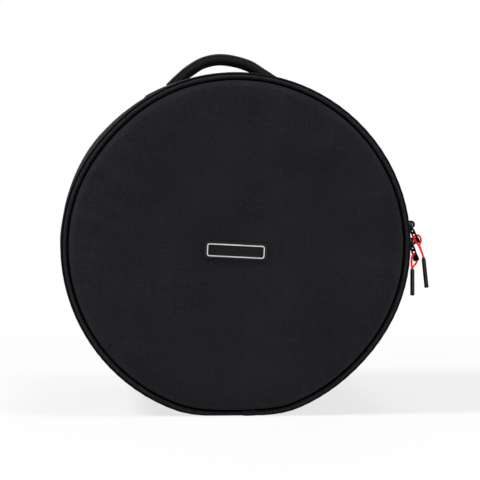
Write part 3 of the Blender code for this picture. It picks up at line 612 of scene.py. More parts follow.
def outer_radius(y):
    """The bag's outer radius at y: the side, its rounded shoulder, then the piping."""
    past = (np.abs(y) - SHOULDER_END + SHOULDER_LENGTH) / SHOULDER_LENGTH
    return RIM_RADIUS + SHOULDER_INSET * np.sqrt(1 - np.clip(past, 0, 1) ** SHOULDER_POWER)


def sagged(z):
    """Heights above the bag's axis, let down where they are over it."""
    return np.where(z > 0, z * (1 - SAG / WALL_RADIUS), z)


def dented(x, y, z):
    """x and z with the rim's soft dents. They fade out towards the panels' middle, and are
    shallower from the zip on, so that the sliders clear it."""
    turn = np.degrees(np.arctan2(z, x)) % 360
    depth = 0
    for middle, spread, deep in DENTS:
        depth = depth + deep * np.exp(-(((turn - middle) / spread) ** 2))
    front = soft_steps(-y, -ZIP_Y, DENT_FRONT)
    depth = depth * (DENT_BEHIND + (1 - DENT_BEHIND) * front)
    radius = np.maximum(np.hypot(x, z), 0.001 * MM)
    shrink = 1 - depth / WALL_RADIUS * np.minimum(radius / PRESS_FADE_RADIUS, 1) ** 2
    return x * shrink, z * shrink


def press_flat(points):
    """Press the lowest stretch of the points flat, as the bag stands on the floor, let the
    top sag, and lift them from the bag's axis to their place. The push fades out towards the
    panels' middle."""
    points = np.array(points, float)
    x, y, z = np.moveaxis(points, -1, 0)
    x, z = dented(x, y, z)
    points[..., 0] = x
    radius = np.hypot(x, z)
    push = (outer_radius(y) - AXIS_HEIGHT) * np.minimum(radius / PRESS_FADE_RADIUS, 1)
    floor = push - radius
    near = np.maximum(PRESS_SOFTNESS - np.abs(z - floor), 0) / PRESS_SOFTNESS
    pressed = np.maximum(z, floor) + near * near * PRESS_SOFTNESS / 4
    points[..., 2] = np.maximum(sagged(pressed) + AXIS_HEIGHT, 0)
    return points


def turned(name, outline, look, body=None, stands_for=(), arc=(0, 360), bulge=None):
    """A piece turned about the bag's axis from an outline of (radius, y), closed unless it
    starts on the axis. bulge(radii, ys, turns) says how far each point moves, by (radius, y)."""
    full = arc[1] - arc[0] == 360
    steps = max(2, round(TURN_STEPS * (arc[1] - arc[0]) / 360))
    turns = np.radians(np.linspace(*arc, steps + 1))
    outline = np.array(outline, float)
    closed = outline[0, 0] > 0
    angles, radii = np.meshgrid(turns, outline[:, 0], indexing="ij")
    ys = np.meshgrid(turns, outline[:, 1], indexing="ij")[1]
    if bulge is not None:
        out, forward = bulge(radii, ys, angles)
        radii = radii + out
        ys = ys + forward
    grid = press_flat(round_axis(radii, ys, angles))
    if closed:
        cloth = paired(turns * WALL_RADIUS, run([*outline, outline[0]]))
    else:
        cloth = grid[..., [0, 2]]
    if full:
        grid = grid[:-1]
    return piece(name, grid_mesh(grid, cloth, (full, closed)), look, body, stands_for)


def rounded(points, radius, steps=3):
    """A closed outline with its corners rounded."""
    points = [Vector(point) for point in points]
    result = []
    for before, here, after in zip(points[-1:] + points[:-1], points, points[1:] + points[:1]):
        start = here + (before - here) * min(radius / (before - here).length, 0.5)
        end = here + (after - here) * min(radius / (after - here).length, 0.5)
        for step in range(steps + 1):
            t = step / steps
            result.append(tuple(start.lerp(here, t).lerp(here.lerp(end, t), t)))
    return result


def dense(points, step):
    """The points of a line with others between them, at most step apart."""
    points = [Vector(point) for point in points]
    result = [tuple(points[0])]
    for a, b in zip(points, points[1:]):
        count = max(1, math.ceil((b - a).length / step))
        result += [tuple(a.lerp(b, i / count)) for i in range(1, count + 1)]
    return result


def ring(node, thickness, corner, outer=None):
    """A rounded ring's outline, with its two sides, and its outer radius if none is given,
    from its node."""
    low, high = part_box(node)
    outer = outer or high.x
    inner = outer - thickness
    return rounded([(inner, low.y), (outer, low.y), (outer, high.y), (inner, high.y)], corner)


def smooth_route(points, steps):
    """Points on one smooth curve through the given ones, steps of them to each gap."""
    points = [Vector(point) for point in points]
    chain = [2 * points[0] - points[1], *points, 2 * points[-1] - points[-2]]
    route = []
    for a, b, c, d in zip(chain, chain[1:], chain[2:], chain[3:]):
        for step in range(steps):
            t = step / steps
            bend = (2 * a - 5 * b + 4 * c - d) * t * t + (3 * b - a - 3 * c + d) * t * t * t
            route.append((2 * b + (c - a) * t + bend) / 2)
    route.append(points[-1])
    return np.array(route)


def swept(route, section):
    """Rows of points that carry a closed section of (side, up) points along a route without
    twisting, and their cloth's axes."""
    ways = np.gradient(route, axis=0)
    ways /= np.linalg.norm(ways, axis=1)[:, None]
    side = np.array([0, 1.0, 0])
    rows = []
    for place, way in zip(route, ways):
        side = side - way * (side @ way)
        side /= np.linalg.norm(side)
        rows.append(place + section[:, :1] * side + section[:, 1:] * np.cross(way, side))
    return np.array(rows), paired(run(route), run([*section, section[0]]))


def circle(radius, sides, squeeze=1):
    """Points round a circle, or round an oval where squeeze isn't 1."""
    turns = np.linspace(0, 2 * math.pi, sides, endpoint=False)
    return np.stack([radius * np.cos(turns), radius * squeeze * np.sin(turns)], axis=-1)


def squarer(points, power):
    """Points of a unit circle drawn out towards a square with rounded corners."""
    return np.sign(points) * np.abs(points) ** power


def copies(name, template, places, axes, look, body):
    """One mesh of many copies of a small bmesh. places has a row for each copy, and axes its
    three directions for the template's X, Y and Z."""
    points = np.array([vertex.co for vertex in template.verts])
    faces = [[vertex.index for vertex in face.verts] for face in template.faces]
    template.free()
    spread = places[:, None] + np.einsum("pk,nkc->npc", points, axes)
    starts = np.arange(len(places)) * len(points)
    corners = [[i + start for i in face] for start in starts for face in faces]
    mesh = bpy.data.meshes.new(name)
    mesh.from_pydata(spread.reshape(-1, 3), [], corners)
    return piece(name, opened(mesh), look, body)


def block(size, centre, edge, segments=2):
    """A small block with softened edges."""
    solid = bmesh.new()
    bmesh.ops.create_cube(solid, size=1)
    moved(solid, Matrix.Translation(centre) @ Matrix.Diagonal((*size, 1)))
    bmesh.ops.bevel(
        solid, geom=solid.edges, offset=edge, segments=segments, affect="EDGES", profile=0.5
    )
    return solid


def stitched(name, line, normals, body, closed=True):
    """A row of lockstitches along a line of points that lie on the cloth."""
    line = np.array(line, float)
    normals = np.array(normals, float)
    if closed:
        line = np.concatenate([line, line[:1]])
        normals = np.concatenate([normals, normals[:1]])
    length = run(line)
    count = round(length[-1] / (STITCH + STITCH_GAP))
    at = (np.arange(count) + 0.5) * length[-1] / count

    def along(values, where):
        return np.stack([np.interp(where, length, values[:, k]) for k in range(3)], axis=1)

    places = along(line, at)
    ways = along(line, np.minimum(at + 0.5 * MM, length[-1])) - along(line, at - 0.5 * MM)
    ways /= np.linalg.norm(ways, axis=1)[:, None]
    up = along(normals, at)
    up -= ways * (up * ways).sum(1)[:, None]
    up /= np.linalg.norm(up, axis=1)[:, None]
    template = bmesh.new()
    bmesh.ops.create_uvsphere(template, u_segments=6, v_segments=5, radius=THREAD / 2)
    stretch = Matrix.Diagonal((1, 1, STITCH / THREAD, 1))
    lie = Matrix.Rotation(math.radians(90), 4, "Y")
    moved(template, lie @ stretch)
    axes = np.stack([ways, np.cross(up, ways), up], axis=1)
    return copies(name, template, places + up * THREAD * 0.1, axes, "thread", body)


def ring_row(name, radius, y, body):
    """Stitches round the bag's side at a radius and y."""
    turns = np.radians(np.linspace(0, 360, TURN_STEPS, endpoint=False))
    line = press_flat(round_axis(radius, y, turns))
    return stitched(name, line, round_axis(1, 0, turns), body)


def add_camera():
    data = bpy.data.cameras.new("camera")
    data.lens = LENS
    data.sensor_width = SENSOR
    data.clip_end = 100
    camera = placed("camera", data)
    camera.location = EYE
    camera.rotation_euler = facing(EYE, AIM)
    bpy.context.scene.camera = camera


def add_cord(side, route, grip):
    """A pull cord, from its grip up through the tab's slot and back, and the grip on it."""
    crown = JOINTS[side + "_tab_swing"]
    line = smooth_route([crown + Vector(point) * MM for point in route], CORD_STEPS)
    rows, cloth = swept(line, circle(CORD_DIAMETER / 2, CORD_SIDES))
    cord = piece(side + "_cord", grid_mesh(rows, cloth, (False, True)), "cord")
    top, lean, tilt = grip
    sleeve = add_grip(side, crown + Vector(top) * MM, lean, tilt)
    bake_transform(cord)
    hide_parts(side + "_pull_cord")


def add_grip(side, top, lean, tilt):
    """A sleeve shrunk over the cord's ends: a drawn-in collar at the top, a faint swelling
    where the knot sits inside, and an open lower end."""
    turns = np.linspace(0, 2 * math.pi, 24, endpoint=False)
    radius, height = np.array(GRIP_OUTLINE).T * MM
    out = np.cos(turns)[:, None] * radius, np.sin(turns)[:, None] * radius
    grid = np.stack(np.broadcast_arrays(*out, height), axis=-1)
    cloth = paired(np.append(turns, 2 * math.pi) * GRIP_RADIUS, height)
    solid = grid_mesh(grid, cloth, (True, False))
    turn = Matrix.Rotation(math.radians(-tilt), 4, "X")
    turn = Matrix.Rotation(math.radians(-lean), 4, "Y") @ turn
    moved(solid, Matrix.Translation(top) @ turn)
    return piece(side + "_sleeve", solid, "sleeve", side + "_grip", [side + "_cord_grip"])


def shoulder_line(sign, inset, end_inset):
    """The side's line over its shoulder towards the piping, inset from the outside."""
    start = SHOULDER_END - SHOULDER_LENGTH
    points = []
    for share in np.sin(np.radians(np.linspace(0, 90, 9))):
        drop = SHOULDER_INSET * (1 - math.sqrt(1 - share**SHOULDER_POWER))
        y = start + (SHOULDER_LENGTH - end_inset) * share
        points.append((WALL_RADIUS - drop - inset, sign * y))
    return points


def rolled_edge(sign, inset):
    """The side cloth's front edge, which rolls over its seam and tucks in behind the piping."""
    middle = (WALL_RADIUS - ROLL_RADIUS + 0.2 * MM, SHOULDER_END - 0.2 * MM - ROLL_RADIUS)
    radius = ROLL_RADIUS - inset
    line = [(WALL_RADIUS - inset, SHOULDER_END - SHOULDER_LENGTH)]
    for turn in np.radians(np.linspace(0, 180, 9)):
        line.append((middle[0] + radius * math.cos(turn), middle[1] + radius * math.sin(turn)))
    line.append((middle[0] - radius, middle[1] - ROLL_TUCK + inset))
    line.append((RIM_RADIUS - SEAM_ALLOWANCE, middle[1] - ROLL_TUCK + inset - 0.4 * MM))
    return [(radius, sign * y) for radius, y in line]


def panel_rise(radius, crown):
    """How far a round panel stands proud of its rim, with a full rounded edge."""
    share = np.clip(np.asarray(radius) / FACE_RIM, 0, 1)
    return crown * np.sqrt(1 - share**EDGE_POWER)


def panel_outline(sign, crown, rim, start, thickness, steps):
    """The outline of one layer of a round panel, from the axis out and back to it. The cloth
    tucks down into the seam at its rim."""
    shares = 1 - (1 - np.linspace(0, 1, steps + 1)) ** 2
    outer = [(r, sign * (RIM_Y + panel_rise(r, crown) - start)) for r in rim * shares]
    inner_rim = rim - min(thickness, 1 * MM) * 0.8
    inner = [
        (r, sign * (RIM_Y + panel_rise(r * rim / inner_rim, crown) - start - thickness))
        for r in inner_rim * np.linspace(1, 0, 13)
    ]
    if start:
        return outer + inner
    deep = RIM_Y - FACE_TUCK
    seam = [(rim, deep), (rim + SEAM_ALLOWANCE, deep)]
    seam += [(rim + SEAM_ALLOWANCE, deep - LAYER_GAP), (inner_rim, deep - LAYER_GAP)]
    return outer + [(r, sign * y) for r, y in seam] + inner


def face_bulge(folds, seed):
    """How far a panel's cloth stands out, where it is drawn over its padding."""

    def bulge(radii, ys, turns):
        place = round_axis(radii, 0, turns)
        x, _, z = np.moveaxis(place, -1, 0)
        swell = swells(place, FACE_SWELLS, seed)
        for x_a, z_a, x_b, z_b, width, height in folds:
            a = np.array((x_a, z_a)) * MM
            b = np.array((x_b, z_b)) * MM
            way = b - a
            share = ((x - a[0]) * way[0] + (z - a[1]) * way[1]) / (way @ way)
            near = np.clip(share, 0, 1)
            distance = np.hypot(x - a[0] - near * way[0], z - a[1] - near * way[1]) / (width * MM)
            fade = np.exp(-distance * distance * 2) * (1 - 0.7 * near)
            swell = swell + FOLD_HEIGHT * height * fade
        calm = soft_steps(np.hypot(x, 1.6 * z), *BADGE_CALM)
        rim = 1 - soft_steps(radii, PANEL_RADIUS - 8 * MM, PANEL_RADIUS)
        gathers = 0.22 * gathered(turns, *FACE_GATHERS)
        gathers = gathers * np.exp(-((radii - PANEL_RADIUS + 5 * MM) / (7 * MM)) ** 2)
        out = (np.maximum(swell, 0) * calm * rim + gathers * rim + 0.1 * rim) * MM
        columns = np.arange(radii.shape[1]) <= FACE_STEPS
        return 0 * radii, np.where(columns, np.sign(ys) * out, 0)

    return bulge


def side_bulge(mouth_y, seed):
    """How far the side's cloth stands out: slow swells, a hem at the zip and small gathers
    at the piping's seam."""

    def bulge(radii, ys, turns):
        outside = radii > WALL_RADIUS - 0.4 * CLOTH
        swell = swells(round_axis(radii, ys, turns), SIDE_SWELLS, seed)
        wall = soft_steps(np.abs(ys - mouth_y), 8 * MM, 30 * MM)
        wall = wall * (1 - soft_steps(np.abs(ys), 0.86 * SHOULDER_END, 0.97 * SHOULDER_END))
        hem = 1 - soft_steps(np.abs(ys - mouth_y), 3.5 * MM, 5.5 * MM)
        seam = np.exp(-((np.abs(ys) - SHOULDER_END + 6 * MM) / (9 * MM)) ** 2)
        gathers = 0.16 * (1 + gathered(turns, *SIDE_GATHERS)) * seam
        out = (np.maximum(swell, 0) * wall + 0.45 * hem + gathers) * MM
        return np.where(outside, out, 0), 0 * ys

    return bulge


def add_panel(side, sign, crown, folds, body):
    """One round end: its cloth, foam and lining, piping, and the sleeve over its joint."""
    cloth = turned(
        side + "_face_cloth",
        panel_outline(sign, crown, FACE_RIM, 0, CLOTH, FACE_STEPS),
        "cloth",
        body,
        [side + "_panel_shell"],
        bulge=face_bulge(folds, SEEDS[side + "_face"]),
    )
    start = CLOTH + LAYER_GAP
    for name, node, depth, look in (
        ("_face_foam", "_panel_foam", PANEL_FOAM, "foam"),
        ("_face_lining", "_panel_lining", THIN_CLOTH, "lining"),
    ):
        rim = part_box(side + node)[1].x
        outline = panel_outline(sign, crown, rim, start, depth, LAYER_STEPS)
        turned(side + name, outline, look, body, [side + node])
        start += depth + LAYER_GAP
    # A near-black strip at the bottom of the groove between the face and the piping: painted shade
    # that darkens the groove
    deep = sign * (RIM_Y - FACE_TUCK)
    painted_shade_strip = [(FACE_RIM, deep), (PAINTED_SHADE_STRIP_RADIUS, deep)]
    painted_shade_strip += [(radius, deep + sign * PAINTED_SHADE_STRIP_THICKNESS) for radius, _ in reversed(painted_shade_strip)]
    turned(side + "_gutter", painted_shade_strip, "painted groove shade", body)
    add_piping(side, sign, body)


def piping_circle(sign, start, end, steps, radius):
    """Points round the piping's section, from outwards (0) over the front (90)."""
    points = []
    for turn in np.radians(np.linspace(start, end, steps)):
        y = sign * (PIPING_Y + radius * math.sin(turn))
        points.append((PIPING_CENTRE_RADIUS + radius * math.cos(turn), y))
    return points


def add_piping(side, sign, body):
    """Corded piping, its bias-cut cover drawn a little tight in slanting ripples, and a sleeve
    of the face's cloth over its joint."""

    def ripple(radii, ys, turns):
        out = radii - PIPING_CENTRE_RADIUS
        forward = ys - sign * PIPING_Y
        slant = np.arctan2(sign * forward, out)
        size = 0.10 * gathered(turns, *PIPING_GATHERS, 1.5 * slant) - 0.05
        size = size + 0.06 * np.cos(turns * 37 + 1.0)
        return out / PIPING_RADIUS * size * MM, forward / PIPING_RADIUS * size * MM

    section = piping_circle(sign, 0, 345, 24, PIPING_RADIUS)
    turned(side + "_rim_piping", section, "piping", body, [side + "_piping"], bulge=ripple)
    start, end = SLEEVE_WRAP
    strip = piping_circle(sign, start, end, 14, SLEEVE_INNER)
    strip += piping_circle(sign, end, start, 14, SLEEVE_OUTER)

    def soft_ends(radii, ys, turns):
        share = (np.degrees(turns) % 360 - SLEEVE_ARC[0]) / (SLEEVE_ARC[1] - SLEEVE_ARC[0])
        edge = 1 - np.minimum(1, 5 * np.minimum(share, 1 - share))
        size = -0.35 * edge * edge + 0.08 * np.cos(turns * 420)
        out = radii - PIPING_CENTRE_RADIUS
        forward = ys - sign * PIPING_Y
        proud = np.hypot(out, forward) > (SLEEVE_INNER + SLEEVE_OUTER) / 2
        size = np.where(proud, size, 0) * MM
        return out / SLEEVE_OUTER * size, forward / SLEEVE_OUTER * size

    node = side + "_piping_joint"
    turned(side + "_piping_sleeve", strip, "cloth", body, [node], SLEEVE_ARC, soft_ends)


def add_side(side, sign, mouth_y, body):
    """The padded side between the zip and one end."""
    edge = rolled_edge(sign, 0)
    if side == "lid":
        outer = dense([(WALL_RADIUS, mouth_y), edge[0]], 1.2 * MM)[:-1]
    else:
        outer = [(WALL_RADIUS, mouth_y + step * MM) for step in (0, 1, 3, 4, 5, 6, 8)]
        outer += dense([(WALL_RADIUS, mouth_y + 12 * MM), edge[0]], SIDE_STEP)[:-1]
    outer += edge
    inner = [(WALL_RADIUS - CLOTH, mouth_y), *rolled_edge(sign, CLOTH)]
    hem = [(WALL_RADIUS - share * CLOTH, mouth_y - sign * 0.25 * MM) for share in (0.7, 0.3)]
    cloth = turned(
        side + "_side_cloth",
        outer + inner[::-1] + hem,
        "side cloth",
        body,
        [side + "_side_shell"],
        bulge=side_bulge(mouth_y, SEEDS[side + "_side"]),
    )
    foam_low, foam_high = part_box(side + "_side_foam")
    under_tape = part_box(side + "_zip_tape")[1].x - PADDING_DEPTH
    inside = under_tape - PADDING_THICKNESS
    mouth = foam_high.y if side == "lid" else foam_low.y
    step_y = mouth + sign * PADDING_STEP
    shape = [(inside, mouth), (under_tape, mouth), (under_tape, step_y), (foam_high.x, step_y)]
    shape += shoulder_line(sign, CLOTH + 2 * LAYER_GAP, 5 * MM)
    shape.append((inside, shape[-1][1]))
    foam = turned(
        side + "_side_padding", rounded(shape, 0.4 * MM, 2), "foam", body, [side + "_side_foam"]
    )
    for name, node, thickness, corner, look, arc in (
        ("_side_liner", "_side_lining", THIN_CLOTH, 0.3 * MM, "lining", (0, 360)),
        ("_mouth_tape", "_mouth_binding", 6 * MM, 0.6 * MM, "tape", (0, 360)),
        ("_zip_cloth", "_zip_tape", 0.6 * MM, 0.2 * MM, "tape", ZIP_ARC),
    ):
        outline = ring(side + node, thickness, corner)
        turned(side + name, outline, look, body, [side + node], arc)
    hem_row = mouth_y + sign * 4.6 * MM
    ring_row(side + "_zip_stitches", WALL_RADIUS + 0.3 * MM, hem_row, body)
    seam_row = sign * (SHOULDER_END - SHOULDER_LENGTH - 0.5 * MM)
    ring_row(side + "_seam_stitches", WALL_RADIUS + 0.25 * MM, seam_row, body)


def add_teeth(side, sign, body):
    """One half of the coil: rounded teeth that reach between those of the other half."""
    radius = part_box(side + "_zip_teeth")[1].x - TOOTH[2] / 2
    template = block(TOOTH, (0, 0, 0), TOOTH_EDGE, 1)
    start, end = np.radians(ZIP_ARC)
    count = int((end - start) * radius / TOOTH_PITCH)
    turns = start + (np.arange(count) + (0.25 if sign < 0 else 0.75)) * (end - start) / count
    middle = press_flat(round_axis(radius, ZIP_Y + sign * TOOTH_MIDDLE, turns))
    along = round_axis(1, 0, turns + math.pi / 2)
    across = round_axis(0, sign, turns)
    out = round_axis(1, 0, turns)
    axes = np.stack([along, across, out], axis=1)
    teeth = copies(side + "_zip_coil", template, middle, axes, "coil", body)
    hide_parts(side + "_zip_teeth")


def add_hinge():
    """The cloth hinge where the zip stops, and the lining behind it."""
    for name, node, look in (
        ("hinge_cloth", "hinge_strip", "tape"),
        ("hinge_liner", "hinge_lining", "lining"),
    ):
        low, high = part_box(node)
        outer = -low.x
        outline = dense([(outer, low.y), (outer, high.y)], 1 * MM)
        outline += dense([(outer - THIN_CLOTH, high.y), (outer - THIN_CLOTH, low.y)], 1 * MM)
        strip = turned(name, outline, look, arc=HINGE_ARC)
        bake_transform(strip)
        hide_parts(node)


def rounded_plate(outlines, thickness, edge):
    """A flat plate about z = 0 with softened edges, from closed outlines in X and Y. All but
    the first are holes."""
    curve = bpy.data.curves.new("outline", "CURVE")
    curve.dimensions = "2D"
    curve.fill_mode = "BOTH"
    curve.extrude = thickness / 2 - edge
    curve.bevel_depth = edge
    curve.bevel_resolution = 2
    curve.offset = -edge
    for outline in outlines:
        spline = curve.splines.new("POLY")
        spline.points.add(len(outline) - 1)
        spline.use_cyclic_u = True
        for point, (x, y) in zip(spline.points, outline):
            point.co = (x, y, 0, 1)
    obj = placed("outline", curve)
    bpy.context.view_layer.update()
    solved = obj.evaluated_get(bpy.context.evaluated_depsgraph_get())
    solid = opened(bpy.data.meshes.new_from_object(solved))
    bpy.data.objects.remove(obj, do_unlink=True)
    bmesh.ops.remove_doubles(solid, verts=solid.verts, dist=0.01 * MM)
    return solid


def rounded_rectangle(length, height, corner, steps=6):
    outline = []
    for quarter, (across, up) in enumerate(((1, 1), (-1, 1), (-1, -1), (1, -1))):
        for step in range(steps + 1):
            turn = math.radians(90 * (quarter + step / steps))
            x = across * (length / 2 - corner) + corner * math.cos(turn)
            y = up * (height / 2 - corner) + corner * math.sin(turn)
            outline.append((x, y))
    return outline


def add_badge():
    """The name plate: a moulded plate sewn to the face, with a silver border and a bare
    field."""
    low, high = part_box("badge_backing")
    centre = (low + high) / 2
    front = Vector((centre.x, low.y, centre.z))
    stand = Matrix.Rotation(math.radians(BADGE_TILT), 4, "Y")
    stand = stand @ Matrix.Rotation(math.radians(90), 4, "X")
    outline = rounded_rectangle(BADGE_LENGTH, BADGE_HEIGHT, BADGE_CORNER)
    plate = rounded_plate([outline], high.y - low.y, BADGE_EDGE)
    outer = rounded_rectangle(BORDER_LENGTH, BORDER_HEIGHT, BORDER_CORNER)
    inner = rounded_rectangle(
        BORDER_LENGTH - 2 * BORDER_WIDTH,
        BORDER_HEIGHT - 2 * BORDER_WIDTH,
        BORDER_CORNER - BORDER_WIDTH,
    )
    border = rounded_plate([outer, inner], BORDER_THICKNESS, BORDER_THICKNESS / 3)
    proud = front - Vector((0, BORDER_THICKNESS / 3, 0))
    for name, solid, place, look, node in (
        ("badge_plate", plate, centre, "rubber", "badge_backing"),
        ("badge_rim", border, proud, "silver", "badge_border"),
    ):
        piece(name, moved(solid, Matrix.Translation(place) @ stand), look, "lid", [node])
    in_x, in_y = BADGE_SEAM
    path = rounded_rectangle(BADGE_LENGTH - 2 * in_x, BADGE_HEIGHT - 2 * in_y, BADGE_SEAM_CORNER)
    lie = Matrix.Translation(front) @ stand
    line = [lie @ Vector((x, y, 0)) for x, y in path]
    stitched("badge_stitches", line, [(0, -1, 0)] * len(line), "lid")


def strap_section():
    """The strap's section, bent over the roll."""
    half = STRAP_WIDTH / 2
    across = np.linspace(-half, half, STRAP_POINTS)
    drop = PAD_THICKNESS / 2 * np.sqrt(1 - (across / (PAD_WIDTH / 2)) ** 2)
    top = np.stack([across, drop + 0.3 * MM + STRAP_THICKNESS], -1)
    low = np.stack([across, drop + 0.3 * MM], -1)[::-1]
    top[[0, -1], 1] -= 0.4 * MM
    low[[0, -1], 1] += 0.2 * MM
    return np.concatenate([top, low])


def handle_part(name, kind, line, body, ends=None):
    """One length of the handle's roll or strap, pressed against the bag at its foot."""
    if kind == "roll":
        section, look = circle(PAD_WIDTH / 2, PAD_SIDES, PAD_THICKNESS / PAD_WIDTH), "side cloth"
    else:
        section, look = strap_section(), "webbing"
    rows, cloth = swept(line, section)
    if kind == "roll":
        under = (rows[..., 2] < line[:, None, 2]) * 1.0
        out = rows - line[:, None]
        drift = 2 * np.sin(rows[..., 1] / PAD_RIPPLE_DRIFT)
        ripple = PAD_RIPPLE * np.cos(rows[..., 0] / PAD_RIPPLE_LENGTH + drift)
        bend = soft_steps(np.abs(rows[..., 0]), *PAD_BEND)
        rows = rows + out * (ripple * under * (0.35 + bend))[..., None]
    rows[..., 2] /= 1 - SAG / WALL_RADIUS
    rest = ANCHOR_TOP
    if kind == "strap":
        rest = ANCHOR_TOP + np.repeat([STRAP_THICKNESS, 0.1 * MM], STRAP_POINTS)
    push = np.maximum(rest / np.hypot(rows[..., 0], rows[..., 2]), 1)
    rows[..., 0] *= push
    rows[..., 2] = sagged(rows[..., 2] * push) + AXIS_HEIGHT
    obj = piece(name, grid_mesh(rows, cloth, (False, True)), look, body)
    if body:
        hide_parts({"roll": "handle_pad", "strap": "handle_webbing"}[kind])
    made = [obj]
    if kind == "roll":
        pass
    else:
        for edge in STRAP_STITCH_ROWS:
            facing = rows[:, edge] - rows[:, 2 * STRAP_POINTS - 1 - edge]
            label = f"{name}_stitches_{edge}"
            made.append(stitched(label, rows[:, edge], facing, body, False))
    if ends:
        for each in made:
            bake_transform(each)
    return obj


def add_handle():
    """The padded carry handle: a middle that leans, and two ends with their anchor patches."""
    points = [
        (HANDLE_HALF_SPAN * x, 0, HANDLE_FOOT + HANDLE_RISE * z) for x, z in HANDLE_ROUTE_SHARES
    ]
    route = smooth_route(points, HANDLE_STEPS)
    x = route[:, 0]

    def cut(low, high):
        """The route between two values of x, with points exactly there."""
        inside = [point for point in route if low < point[0] < high]
        ends = [np.array([value, 0, np.interp(value, x, route[:, 2])]) for value in (low, high)]
        return np.array([ends[0], *inside, ends[1]])

    stretches = {
        "middle": (-PAD_HALF_LENGTH, PAD_HALF_LENGTH),
        "left": (x[0], -PAD_HALF_LENGTH),
        "right": (PAD_HALF_LENGTH, x[-1]),
    }
    for where, (low, high) in stretches.items():
        line = cut(low, high)
        if where == "middle":
            handle_part("handle_roll", "roll", line, "handle")
            handle_part("handle_strap", "strap", line, "handle")
            continue
        sign = -1 if where == "left" else 1
        foot, grip = (Vector((sign * x, 0, z + AXIS_HEIGHT)) for x, z in HANDLE_BENDS)
        roll = handle_part("handle_roll_" + where, "roll", line, None, (foot, grip))
        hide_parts("handle_end_" + where)
        handle_part("handle_strap_" + where, "strap", line, None, (foot, grip))
        add_anchor(where, ANCHOR_ARCS[where])


def add_anchor(where, arc):
    """A folded webbing patch sewn to the side under the handle's foot."""
    node = "handle_anchor_" + where

    def soft(radii, ys, turns):
        share = (np.degrees(turns) - arc[0]) / (arc[1] - arc[0])
        edge = 1 - np.minimum(1, 16 * np.minimum(share, 1 - share))
        top = radii > WALL_RADIUS + 1.2 * MM
        return np.where(top, -0.8 * edge * edge, 0) * MM, 0 * ys

    low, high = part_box(node)
    outer = WALL_RADIUS + LAYER_GAP + ANCHOR_THICKNESS
    outline = ring(node, ANCHOR_THICKNESS, ANCHOR_CORNER, outer)
    turned(node + "_patch", outline, "webbing", "bag", [node], arc, soft)
    start, end = np.radians(arc) + np.array([1, -1]) * ANCHOR_INSET / outer
    near, far = low.y + ANCHOR_INSET, high.y - ANCHOR_INSET
    corners = [(start, near), (end, near), (end, far), (start, far)]
    path = []
    for a, b, steps in zip(corners, corners[1:] + corners[:1], (30, 14, 30, 14)):
        path += list(np.linspace(a, b, steps))
    turns, ys = np.transpose(path)
    edge = outer + 0.05 * MM
    line = press_flat(round_axis(edge, ys, turns))
    stitched(node + "_stitches", line, round_axis(1, 0, turns), "bag")


def slider_outline(nose):
    """A slider plate's outline in (across, along), wide and rounded at its nose."""
    long = nose * PLATE_HALF_LENGTH
    points = [
        (PLATE_NOSE * 0.55, long),
        (PLATE_NOSE, long * 0.72),
        (PLATE_NOSE, long * 0.1),
        (PLATE_TAIL, -long * 0.75),
        (PLATE_TAIL * 0.75, -long),
    ]
    points += [(-y, z) for y, z in reversed(points)]
    return rounded(points, 2.2 * MM, 4)


def joined(solids):
    """Several bmeshes as one, all closed."""
    whole = bmesh.new()
    for solid in solids:
        bmesh.ops.recalc_face_normals(solid, faces=solid.faces)
        mesh = bpy.data.meshes.new("part")
        solid.to_mesh(mesh)
        solid.free()
        whole.from_mesh(mesh)
        bpy.data.meshes.remove(mesh)
    return whole


def add_slider(side, nose):
    """A cast slider: two plates round the coil, the post at its nose, and the crown."""
    crown = JOINTS[side + "_tab_swing"]
    turn = math.atan2(crown.z - AXIS_HEIGHT, crown.x)
    stand = Matrix(((0, 0, 1, 0), (1, 0, 0, 0), (0, 1, 0, 0), (0, 0, 0, 1)))
    solids = []
    for radius in (PLATE_TOP + PLATE_THICKNESS / 2, PLATE_UNDER - PLATE_THICKNESS / 2):
        plate = rounded_plate([slider_outline(nose)], PLATE_THICKNESS, 0.4 * MM)
        solids.append(moved(plate, Matrix.Translation((radius, 0, 0)) @ stand))
    for across in (-LIP_ACROSS, LIP_ACROSS):
        solids.append(block(LIP, (LIP_RADIUS, across, nose * LIP_ALONG), 0.2 * MM))
    middle = (PLATE_TOP + PLATE_UNDER) / 2
    solids.append(block(POST, (middle, 0, nose * POST_ALONG), 0.3 * MM))
    bend = np.roll(squarer(circle(1, 40), 0.75), 10, axis=0)[:21] * CROWN_REACH
    arch = [(CROWN_MIDDLE + CROWN_STRETCH * x, 0, z) for x, z in bend]
    feet = [(CROWN_FOOT, 0, way * CROWN_REACH) for way in (-1, 1)]
    arch = [feet[0], *arch, feet[1]]
    section = squarer(circle(1, 16), 0.6) * CROWN_SECTION
    rows, cloth = swept(np.array(arch), section)
    solids.append(grid_mesh(rows, cloth, (False, True)))
    move = Matrix.Translation((0, ZIP_Y, AXIS_HEIGHT)) @ Matrix.Rotation(-turn, 4, "Y")
    whole = moved(joined(solids), move)
    piece(side + "_slider_body", whole, "enamel", side + "_zip_slider", [side + "_slider"])


